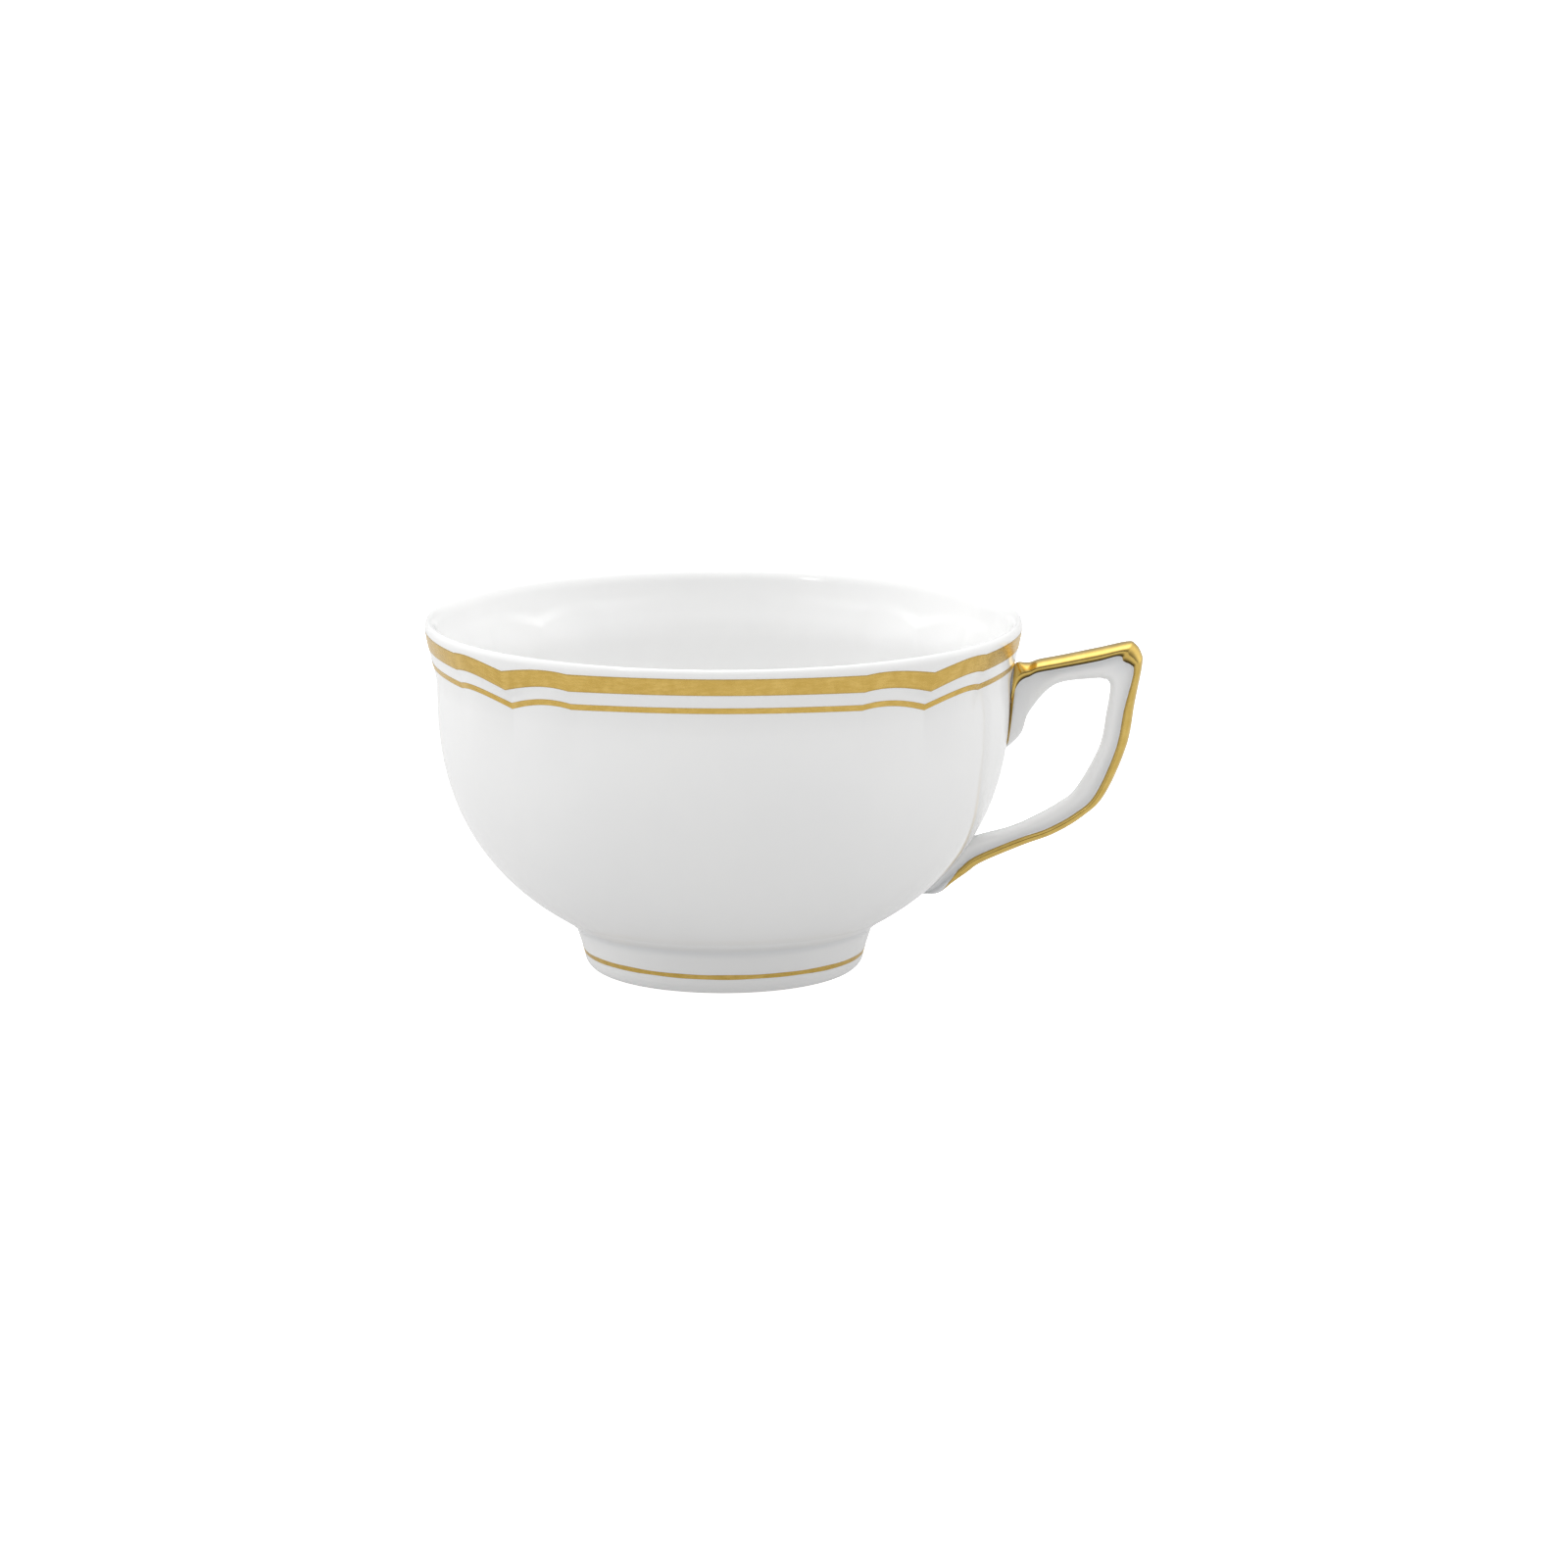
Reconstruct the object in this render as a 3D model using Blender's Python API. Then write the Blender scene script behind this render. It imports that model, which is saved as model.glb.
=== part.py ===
"""A porcelain teacup: lobed bowl, foot ring and loop handle, with gilding at rim, foot and handle.

Every sub-part is its own object. Lengths are in metres, +Z is up, and the cup stands on Z = 0.
The handle points along +X and the lobes face +X, +Y, -X and -Y. The cup's own axis hangs on the
empty "cup_axis", which is moved along X so that the origin is the middle of the footprint.
"""

import math

import bmesh
import bpy
from mathutils import Vector

MM = 0.001

# Overall sizes
RIM_RADIUS = 47.5 * MM  # widest point of the rolled rim
HEIGHT = 56.75 * MM  # table to the crest of the rim
HANDLE_REACH = 21.1 * MM  # upright wall to the outermost point of the handle

# Bowl
FLARE = 1.85 * MM  # how far the rim stands out past the upright wall
FLARE_HEIGHT = 9.2 * MM  # crest down to where the flare leaves the wall
SHOULDER_DROP = 10.75 * MM  # crest down to the top of the curved belly
BELLY_BOTTOM = 2.4 * MM  # where the belly's curve would close if the base weren't flat
BELLY_POWER = 2.45  # higher is fuller
BASE_HEIGHT = 4.5 * MM  # flat underside, inside the foot ring
WALL = 2.3 * MM
BELLY_WALL = 2.8 * MM  # thickness towards the bottom
LIP_WALL = 1.6 * MM
FLOOR_THICKNESS = 3.2 * MM
LIP_OUTER_ROUND = (0.55 * MM, 0.8 * MM)  # half-axes of the roll outside the crest
LIP_INNER_ROUND = (1.05 * MM, 1.6 * MM)

# Lobes: a bracket-shaped edge falls to a point between neighbouring lobes
LOBES = 4
POINT_DROP = 2.05 * MM  # how far the relief's edge falls at a point
CORNER_ANGLE = math.radians(29.0)  # from a lobe's middle to the small corner
CORNER_SHARE = 0.28  # part of the fall that is reached at the corner
CORNER_RISE = 1.42  # slope that leaves the corner, and slope that meets the point
POINT_FALL = -1.80
FLUTE_FOOT = 15.0 * MM  # the hollows between lobes have died out here

# Foot ring
JOINT_HEIGHT = 7.9 * MM  # crease where the ring meets the bowl
JOINT_LAND = 0.5 * MM  # the ring's top edge stops this far below the crease
REST_STEP = 4.8 * MM  # how far the flat bottom face lies inside the crease
REST_WIDTH = 1.4 * MM
FOOT_BULGE = 2.95 * MM  # how far the round bottom edge swells past the flat face
FOOT_BULGE_HEIGHT = 2.6 * MM
FOOT_TAPER = 0.27  # outward lean of the foot's side
COVE_HEIGHT = 2.7 * MM
FOOT_DRAFT = 0.6 * MM  # how far the inside of the ring widens upwards

# Gilding
BAND_DROP = 1.35 * MM  # crest down to the broad band
BAND_WIDTH = 2.70 * MM
BAND_SPACE = 1.95 * MM  # white strip between the band and the line
LINE_WIDTH = 0.95 * MM
BAND_FALLS = (0.66, 0.90)  # share of POINT_DROP that the upper and lower edge fall
LINE_FALLS = (0.97, 1.0)
FOOT_LINE_HEIGHT = 3.2 * MM
FOOT_LINE_WIDTH = 0.8 * MM
GILDING = 0.2 * MM  # thickness of the gold skin
GAP = 0.3 * MM  # clearance between pieces that touch

# Handle
HANDLE_TOP_DROP = 3.1 * MM  # crest down to the top of the handle's corner
CROTCH_HEIGHT = 22.0 * MM  # where the lower arm leaves the wall
ROOT_TOP_DROP = 6.9 * MM  # crest down to the top of the upper root
ROOT_HEIGHT = 13.6 * MM  # length of the upper root down the wall
WEB_WIDTH = 3.7 * MM
BEAD_WIDTH = 4.7 * MM
BEAD_DEPTH = 1.75 * MM  # how deep the gilded bead is in the handle's plane
BEAD_SHARE = 0.45  # most of a thin section's depth that the bead takes
ROOT_LINE_WIDTH = 1.1 * MM
ROOT_LINE_RISE = 1.2 * MM  # how far the line passes above the root's top

# The handle's two outlines, as paired points: outer edge (across, up), inner edge (across, up).
# Across is a share of HANDLE_REACH out from the wall, up is a share of the rise from the crotch
# to the top of the corner.
HANDLE_PAIRS = (
    ((0.123, 0.888), (0.062, 0.511)),
    ((0.209, 0.904), (0.133, 0.625)),
    ((0.374, 0.926), (0.313, 0.785)),
    ((0.659, 0.965), (0.630, 0.820)),
    ((0.877, 0.998), (0.732, 0.814)),
    ((0.948, 0.976), (0.746, 0.795)),
    ((0.991, 0.927), (0.749, 0.773)),
    ((0.998, 0.864), (0.746, 0.735)),
    ((0.938, 0.675), (0.723, 0.618)),
    ((0.872, 0.451), (0.664, 0.438)),
    ((0.706, 0.208), (0.483, 0.233)),
    ((0.545, 0.104), (0.355, 0.161)),
    ((0.327, 0.019), (0.185, 0.101)),
    ((0.090, -0.047), (-0.005, 0.044)),
)
# The tail that lies along the belly: height of its inner edge, then the outer edge's step out
# and step down from there.
TAIL_PAIRS = (
    (20.9 * MM, 1.9 * MM, 3.3 * MM),
    (18.4 * MM, 1.3 * MM, 2.5 * MM),
    (15.8 * MM, 1.3 * MM, 1.7 * MM),
    (13.5 * MM, 1.4 * MM, 0.8 * MM),
    (12.1 * MM, 1.2 * MM, 0.2 * MM),
)

# Smoothness
SEGMENTS = 80  # around the axis; a multiple of 8 puts a vertex on every point
HANDLE_STEPS = 2  # sections for each pair of outline points

WALL_RADIUS = RIM_RADIUS - FLARE
SHOULDER_HEIGHT = HEIGHT - SHOULDER_DROP
FLARE_SLOPE = FLARE / (FLARE_HEIGHT - LIP_OUTER_ROUND[1])
FLOOR_HEIGHT = BASE_HEIGHT + FLOOR_THICKNESS
CHANNEL = GAP + GILDING
BAND_EDGES = (BAND_DROP, BAND_DROP + BAND_WIDTH)
LINE_EDGES = (BAND_EDGES[1] + BAND_SPACE, BAND_EDGES[1] + BAND_SPACE + LINE_WIDTH)
ANGLES = [2 * math.pi * i / SEGMENTS for i in range(SEGMENTS)]


def bracket(angle):
    """Fall of the bracket-shaped edge, 0 in a lobe's middle and 1 at a point between lobes."""
    pitch = 2 * math.pi / LOBES
    off = abs((angle + pitch / 2) % pitch - pitch / 2)
    if off <= CORNER_ANGLE:
        return CORNER_SHARE * (off / CORNER_ANGLE) ** 2.4
    t = (off - CORNER_ANGLE) / (pitch / 2 - CORNER_ANGLE)
    fall = 1 - CORNER_SHARE
    rise = CORNER_RISE * (t**3 - 2 * t**2 + t)
    drop = fall * (3 * t**2 - 2 * t**3) - POINT_FALL * (t**3 - t**2)
    return CORNER_SHARE + drop - rise


def belly(z, radius, bottom):
    """Radius of a belly that is upright at the shoulder and closes in an oval at its bottom."""
    share = max(0.0, SHOULDER_HEIGHT - z) / (SHOULDER_HEIGHT - bottom)
    return radius * math.sqrt(1 - share**BELLY_POWER)


def belly_height(r):
    """Height at which the outside of the belly has radius r."""
    share = (1 - (r / WALL_RADIUS) ** 2) ** (1 / BELLY_POWER)
    return SHOULDER_HEIGHT - (SHOULDER_HEIGHT - BELLY_BOTTOM) * share


def flute(angle, z):
    """Depth of the hollow between two lobes, dying out towards the foot."""
    share = (z - FLUTE_FOOT) / (SHOULDER_HEIGHT - FLUTE_FOOT)
    share = min(1.0, max(0.0, share))
    return FLARE_SLOPE * POINT_DROP * bracket(angle) * share * share * (3 - 2 * share)


def outer_radius(z, angle=0.0):
    """Outside of the bowl: the lobed belly below, the plain flare of the rim above."""
    body = belly(z, WALL_RADIUS, BELLY_BOTTOM) - flute(angle, z)
    if z < HEIGHT - FLARE_HEIGHT - POINT_DROP:
        return body
    return max(body, RIM_RADIUS - FLARE_SLOPE * (HEIGHT - LIP_OUTER_ROUND[1] - z))


def inner_radius(z, angle=0.0):
    """Inside of the bowl, with the lobes showing through the wall."""
    if z >= SHOULDER_HEIGHT:
        share = (z - SHOULDER_HEIGHT) / SHOULDER_DROP
        return outer_radius(z, angle) - WALL - (LIP_WALL - WALL) * share
    return belly(z, WALL_RADIUS - WALL, BELLY_BOTTOM + BELLY_WALL) - flute(angle, z)


JOINT_RADIUS = outer_radius(JOINT_HEIGHT)
REST_OUTER = JOINT_RADIUS - REST_STEP
REST_INNER = REST_OUTER - REST_WIDTH


def foot_side(z, angle=0.0):
    """Outside of the foot ring: round bottom edge, leaning side and cove under the bowl."""
    dip = max(0.0, 1 - z / FOOT_BULGE_HEIGHT)
    lean = FOOT_TAPER * max(0.0, z - FOOT_BULGE_HEIGHT)
    cove = max(0.0, 1 - (JOINT_HEIGHT - z) / COVE_HEIGHT)
    side = REST_OUTER + FOOT_BULGE * math.sqrt(1 - dip * dip) + lean
    reach = REST_STEP - FOOT_BULGE - FOOT_TAPER * (JOINT_HEIGHT - FOOT_BULGE_HEIGHT)
    return side + reach * (1 - math.sqrt(max(0.0, 1 - cove * cove)))


def lean_of_wall(z):
    """Change of the bowl's outside radius with height."""
    step = 0.1 * MM
    return (outer_radius(z + step) - outer_radius(z - step)) / (2 * step)


def under_bowl(z):
    """A level ring GAP clear of the bowl, at right angles to the bowl's surface at height z."""
    lean = lean_of_wall(z)
    out = 1 / math.hypot(1.0, lean)
    return ring(fixed(outer_radius(z) + GAP * out), level(z - GAP * out * lean))


def rim_edge(drop, amount=1.0):
    """Height of a bracket-shaped line drop below the crest, as a function of the angle."""
    return lambda angle: HEIGHT - drop - amount * POINT_DROP * bracket(angle)


def ring(radius, height):
    """One closed ring of points. Radius takes (height, angle), and height takes the angle."""
    points = []
    for angle in ANGLES:
        z = height(angle)
        r = radius(z, angle)
        points.append(Vector((r * math.cos(angle), r * math.sin(angle), z)))
    return points


def level(z):
    """A height that is the same all round."""
    return lambda angle: z


def fixed(radius):
    """A radius that is the same all round."""
    return lambda z, angle: radius


def loft(name, rings, closed=False):
    """A solid skinned over rings of equal length. closed joins the last ring to the first."""
    mesh = bpy.data.meshes.new(name)
    bm = bmesh.new()
    loops = [[bm.verts.new(p) for p in points] for points in rings]
    pairs = list(zip(loops, loops[1:]))
    if closed:
        pairs.append((loops[-1], loops[0]))
    count = len(loops[0])
    for low, high in pairs:
        for i in range(count):
            j = (i + 1) % count
            bm.faces.new((low[i], low[j], high[j], high[i]))
    if not closed:
        bm.faces.new(list(reversed(loops[0])))
        bm.faces.new(loops[-1])
    if bm.calc_volume(signed=True) < 0:
        bmesh.ops.reverse_faces(bm, faces=bm.faces)
    bm.to_mesh(mesh)
    bm.free()
    mesh.shade_smooth()
    mesh.set_sharp_from_angle(angle=math.radians(35))
    return bpy.data.objects.new(name, mesh)


def material(name, color, roughness, metallic):
    """A Principled material."""
    made = bpy.data.materials.new(name)
    made.use_nodes = True
    shader = made.node_tree.nodes["Principled BSDF"]
    shader.inputs["Base Color"].default_value = (*color, 1.0)
    shader.inputs["Roughness"].default_value = roughness
    shader.inputs["Metallic"].default_value = metallic
    return made


def recessed(radius, depth=CHANNEL):
    """A radius function let in by depth."""
    return lambda z, angle: radius(z, angle) - depth


def channel(top, bottom, amounts):
    """Four rings of a shallow channel in the bowl's wall, from its lower edge to its upper one."""
    low = rim_edge(bottom + GAP, amounts[1])
    high = rim_edge(top - GAP, amounts[0])
    sunk = recessed(outer_radius)
    return [ring(outer_radius, low), ring(sunk, low), ring(sunk, high), ring(outer_radius, high)]


def lip():
    """Rings over the rolled rim, from the outside over the crest to the inside."""
    crest = RIM_RADIUS - LIP_OUTER_ROUND[0]
    rings = []
    for step in range(7):
        turn = math.radians(30 * step)
        wide, high = LIP_OUTER_ROUND if step < 4 else LIP_INNER_ROUND
        z = HEIGHT - high * (1 - math.sin(turn))
        rings.append(ring(fixed(crest + wide * math.cos(turn)), level(z)))
    return rings


def bowl():
    """The bowl: underside, lobed belly, two channels for the gold, rolled rim and inside."""
    belly_steps = 13
    rings = []
    for i in range(belly_steps):
        z = BASE_HEIGHT + (SHOULDER_HEIGHT - BASE_HEIGHT) * (i / belly_steps) ** 1.5
        rings.append(ring(outer_radius, level(z)))
    rings.append(ring(outer_radius, rim_edge(FLARE_HEIGHT)))
    rings += channel(*LINE_EDGES, LINE_FALLS)
    rings += channel(*BAND_EDGES, BAND_FALLS)
    rings += lip()
    inside_steps = 12
    top = HEIGHT - LIP_INNER_ROUND[1]
    for i in range(1, inside_steps + 1):
        z = top - (top - FLOOR_HEIGHT) * (i / inside_steps) ** 0.85
        rings.append(ring(inner_radius, level(z)))
    return loft("bowl", rings)


def gold_hoop(name, edges, falls):
    """A hoop of gold skin in its channel, flush with the bowl's outside."""
    low, high = rim_edge(edges[1], falls[1]), rim_edge(edges[0], falls[0])

    def middle(angle):
        return (low(angle) + high(angle)) / 2

    back = recessed(outer_radius, GILDING)
    rows = [ring(outer_radius, height) for height in (low, middle, high)]
    rows += [ring(back, height) for height in (high, middle, low)]
    return loft(name, rows, closed=True)


def foot_ring():
    """The foot ring: flat rest, round edge, channel for the gold line, cove and saddle."""
    half = FOOT_LINE_WIDTH / 2 + GAP
    low, high = level(FOOT_LINE_HEIGHT - half), level(FOOT_LINE_HEIGHT + half)
    sunk = recessed(foot_side)
    rings = [ring(fixed(REST_INNER), level(0.0)), ring(fixed(REST_OUTER), level(0.0))]
    for share in (0.06, 0.3, 0.65):
        rings.append(ring(foot_side, level(FOOT_BULGE_HEIGHT * share)))
    rings += [ring(foot_side, low), ring(sunk, low), ring(sunk, high), ring(foot_side, high)]
    top = under_bowl(JOINT_HEIGHT - JOINT_LAND)
    cove_start = JOINT_HEIGHT - COVE_HEIGHT
    for share in (0.0, 0.5, 1.0):
        rings.append(ring(foot_side, level(cove_start + (top[0].z - cove_start) * share)))
    rings.append(top)
    inner_top = belly_height(REST_INNER + FOOT_DRAFT)
    for share in (0.33, 0.67, 1.0):
        rings.append(under_bowl(JOINT_HEIGHT - JOINT_LAND + (inner_top + JOINT_LAND - JOINT_HEIGHT) * share))
    return loft("foot_ring", rings, closed=True)


def foot_gold_line():
    """The thin gold line round the foot."""
    low = level(FOOT_LINE_HEIGHT - FOOT_LINE_WIDTH / 2)
    high = level(FOOT_LINE_HEIGHT + FOOT_LINE_WIDTH / 2)
    back = recessed(foot_side, GILDING)
    rows = [ring(foot_side, low), ring(foot_side, high), ring(back, high), ring(back, low)]
    return loft("foot_gold_line", rows, closed=True)


def on_wall(z):
    """Point beside the wall at the handle, GAP clear of the wall at right angles to it."""
    return Vector((outer_radius(z) + GAP * math.hypot(1.0, lean_of_wall(z)), 0.0, z))


def handle_outlines():
    """Paired points of the handle's outer and inner edge, from the upper root to the tail."""
    top = HEIGHT - ROOT_TOP_DROP
    rise = HEIGHT - HANDLE_TOP_DROP - CROTCH_HEIGHT
    pairs = [(on_wall(top), on_wall(top - ROOT_HEIGHT))]
    for edges in HANDLE_PAIRS:
        pair = []
        for across, up in edges:
            x = WALL_RADIUS + HANDLE_REACH * across
            pair.append(Vector((x, 0.0, CROTCH_HEIGHT + rise * up)))
        pairs.append(tuple(pair))
    for z, out, down in TAIL_PAIRS:
        inner = on_wall(z)
        pairs.append((inner + Vector((out, 0.0, -down)), inner))
    return pairs


def smooth_run(points, steps):
    """Catmull-Rom points through a list of points, steps for each stretch."""
    first = 2 * points[0] - points[1]
    last = 2 * points[-1] - points[-2]
    padded = [first, *points, last]
    run = []
    for a, b, c, d in zip(padded, padded[1:], padded[2:], padded[3:]):
        for step in range(steps):
            t = step / steps
            run.append(0.5 * (2 * b + (c - a) * t + (2 * a - 5 * b + 4 * c - d) * t**2
                              + (3 * b - 3 * c + d - a) * t**3))
    run.append(points[-1])
    return run


def handle_frames():
    """(outer point, inward unit vector, depth) of each section along the handle."""
    outer, inner = zip(*handle_outlines())
    frames = []
    for o, i in zip(smooth_run(outer, HANDLE_STEPS), smooth_run(inner, HANDLE_STEPS)):
        i.x = max(i.x, on_wall(i.z).x)
        frames.append((o, (i - o).normalized(), (i - o).length))
    return frames


def section(frame, outline):
    """Places an outline of (inwards, sideways) points in a frame of the handle."""
    origin, inwards, _ = frame
    return [origin + inwards * depth + Vector((0.0, side, 0.0)) for depth, side in outline]


def mirrored(half):
    """A closed outline from its half with sideways >= 0, listed from the outer edge inwards."""
    return half + [(depth, -side) for depth, side in reversed(half)]


def bead_depth(depth):
    """Depth of the gilded bead in a section, less where the handle thins towards the tail."""
    return min(BEAD_DEPTH, BEAD_SHARE * depth)


def web_outline(depth):
    """Section of the porcelain: a rounded core under the gilded bead, then the flat web."""
    skin = GAP + GILDING
    core = BEAD_WIDTH / 2 - skin
    web = WEB_WIDTH / 2
    neck = bead_depth(depth) + GAP
    soft = min(0.25 * web, 0.15 * depth)
    half = []
    for share, wide in ((0.0, 0.4), (0.3, 0.85), (0.7, 1.0)):
        half.append((skin + share * (neck - skin), wide * core))
    half += [(neck, web), (depth - soft, web), (depth, web - soft)]
    return mirrored(half)


def skin_outline(depth):
    """Section of the gold skin: a shell round the bead, open towards the web."""
    wide = BEAD_WIDTH / 2
    bead = bead_depth(depth)
    outer = [(bead, wide), (0.35 * bead, 0.9 * wide), (0.0, 0.4 * wide)]
    inner = [(bead, wide - GILDING), (0.42 * bead, 0.9 * wide - GILDING)]
    inner.append((GILDING, 0.4 * wide - 0.4 * GILDING))
    return mirrored(outer) + list(reversed(mirrored(inner)))


def handle():
    """The loop handle: one casting with a broad upper root and a tail along the belly."""
    return loft("handle", [section(f, web_outline(f[2])) for f in handle_frames()])


def handle_gilding():
    """The gold skin on the handle's outer bead, clear of the root line and of the tail's end."""
    frames = handle_frames()[HANDLE_STEPS:-HANDLE_STEPS]
    return loft("handle_gilding", [section(f, skin_outline(f[2])) for f in frames])


def root_path():
    """(sideways, height) points of the line round the upper root, up one side and down the other."""
    top = HEIGHT - ROOT_TOP_DROP
    low = top - ROOT_HEIGHT
    side = BEAD_WIDTH / 2 + GAP
    climb = [(side, low + ROOT_HEIGHT * share) for share in (0.07, 0.35, 0.7, 0.94)]
    climb.append((0.6 * side, top + ROOT_LINE_RISE))
    return climb + [(-y, z) for y, z in reversed(climb)]


def handle_root_gilding():
    """The gold line round the upper root, over its top and down both sides of the joint."""
    path = root_path()
    rings = []
    for count, (y, z) in enumerate(path):
        share = min(count, len(path) - 1 - count) / (len(path) / 2 - 1)
        wide = ROOT_LINE_WIDTH * (0.4 + 0.6 * share)
        skin = Vector((0.0, math.copysign(GILDING, y), GILDING if share == 1 else 0.0))
        near = Vector((math.sqrt(outer_radius(z) ** 2 - y * y) + 2 * GAP, y, z))
        far = near + Vector((wide, 0.0, 0.0))
        rings.append([near, far, far + skin, near + skin])
    return loft("handle_root_gilding", rings)


def clear_scene():
    """Removes every object of the scene that the script starts in."""
    for found in list(bpy.data.objects):
        bpy.data.objects.remove(found, do_unlink=True)


def main():
    """Builds the cup and hangs its parts on the cup's axis."""
    clear_scene()
    porcelain = material("porcelain", (0.86, 0.86, 0.85), 0.12, 0.0)
    gold = material("gold", (0.60, 0.38, 0.12), 0.28, 1.0)
    axis = bpy.data.objects.new("cup_axis", None)
    axis.location.x = (RIM_RADIUS - WALL_RADIUS - HANDLE_REACH) / 2
    bpy.context.collection.objects.link(axis)
    parts = [(bowl(), porcelain), (foot_ring(), porcelain), (handle(), porcelain)]
    parts.append((gold_hoop("rim_gold_band", BAND_EDGES, BAND_FALLS), gold))
    parts.append((gold_hoop("rim_gold_line", LINE_EDGES, LINE_FALLS), gold))
    parts += [(foot_gold_line(), gold), (handle_gilding(), gold), (handle_root_gilding(), gold)]
    for part, finish in parts:
        part.data.materials.append(finish)
        part.parent = axis
        bpy.context.collection.objects.link(part)


main()
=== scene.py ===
"""Looks of a lobed porcelain teacup with gilding at its rim, foot and handle.

The cup stands on Z = 0 with its handle along +X. Lengths are in metres. Every surface is worked
out on a grid of two parameters: an angle round the cup's axis and a height, or a run along the
handle and a place round its section.
"""

from __future__ import annotations

import logging
import math
from collections.abc import Callable
from dataclasses import dataclass, field
from enum import Enum

import bmesh
import bpy
import numpy as np
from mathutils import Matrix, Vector

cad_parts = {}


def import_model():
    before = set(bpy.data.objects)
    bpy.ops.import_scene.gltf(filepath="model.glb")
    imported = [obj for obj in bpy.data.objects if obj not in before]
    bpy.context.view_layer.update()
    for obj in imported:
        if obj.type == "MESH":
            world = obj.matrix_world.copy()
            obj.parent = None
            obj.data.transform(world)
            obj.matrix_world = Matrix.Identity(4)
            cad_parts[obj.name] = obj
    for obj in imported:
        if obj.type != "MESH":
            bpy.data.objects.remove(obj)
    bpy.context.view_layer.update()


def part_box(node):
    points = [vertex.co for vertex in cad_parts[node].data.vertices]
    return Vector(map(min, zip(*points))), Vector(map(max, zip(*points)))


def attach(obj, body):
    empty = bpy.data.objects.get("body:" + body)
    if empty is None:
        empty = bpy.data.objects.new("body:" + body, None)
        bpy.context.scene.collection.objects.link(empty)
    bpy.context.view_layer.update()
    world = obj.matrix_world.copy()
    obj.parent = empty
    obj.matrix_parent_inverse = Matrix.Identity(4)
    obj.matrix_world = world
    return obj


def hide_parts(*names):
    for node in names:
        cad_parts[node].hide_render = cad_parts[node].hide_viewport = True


MM = 0.001
LOG = logging.getLogger("teacup")
FILM = 0.03 * MM  # height of the gold above the porcelain
TUCK = 0.08 * MM  # depth of the leaf's closed back below it
WELD = 1e-7  # points closer than this are one
SHARP = math.radians(50)  # edges above this angle stay crisp


class Slot(Enum):
    """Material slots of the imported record."""

    PORCELAIN = "porcelain"
    GOLD = "gold"


def soft_max(a: np.ndarray, b: np.ndarray | float, blend: float) -> np.ndarray:
    """The larger of two lengths, with the corner between them rounded.

    max(a, b) + blend h^2 / 4, where h falls from 1 to 0 as |a - b| grows from 0 to blend.

    Args:
        a: First length.
        b: Second length.
        blend: Difference at which the rounding ends.

    Returns:
        The rounded maximum.
    """
    near = np.clip(1 - np.abs(a - b) / blend, 0, 1)
    return np.maximum(a, b) + blend * near**2 / 4


def smooth_step(value: np.ndarray, start: float, end: float) -> np.ndarray:
    """Rises from 0 at start to 1 at end as 3t^2 - 2t^3.

    Args:
        value: Where to read the step.
        start: Value at which the step is 0.
        end: Value at which the step is 1.

    Returns:
        The step, the same shape as value.
    """
    t = np.clip((value - start) / (end - start), 0, 1)
    return t * t * (3 - 2 * t)


def unit(vectors: np.ndarray) -> np.ndarray:
    """Vectors scaled to length 1 along the last axis."""
    length = np.linalg.norm(vectors, axis=-1, keepdims=True)
    return vectors / np.maximum(length, 1e-12)


def smooth_run(points: np.ndarray, places: np.ndarray) -> np.ndarray:
    """Catmull-Rom curve through points, read at places.

    Between points b and c, with neighbours a and d, the curve is half of
    2b + (c - a)t + (2a - 5b + 4c - d)t^2 + (3b - 3c + d - a)t^3.

    Args:
        points: Points of the curve, one per row.
        places: Positions counted in points from the first, of any shape.

    Returns:
        One point for each place.
    """
    padded = np.concatenate([2 * points[:1] - points[1:2], points, 2 * points[-1:] - points[-2:-1]])
    start = np.clip(np.floor(places).astype(int), 0, len(points) - 2)
    t = (places - start)[..., None]
    a, b, c, d = (padded[start + k] for k in range(4))
    square = (2 * a - 5 * b + 4 * c - d) * t**2
    return 0.5 * (2 * b + (c - a) * t + square + (3 * b - 3 * c + d - a) * t**3)


def to_scene(made: bpy.types.Object) -> bpy.types.Object:
    """Links an object to the scene and gives it back."""
    bpy.context.scene.collection.objects.link(made)
    return made


def walked(points: np.ndarray) -> np.ndarray:
    """Distance in millimetres along a row of points, 0 at the first."""
    steps = np.linalg.norm(np.diff(points, axis=0), axis=-1)
    return np.concatenate([[0], np.cumsum(steps)]) / MM


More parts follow.
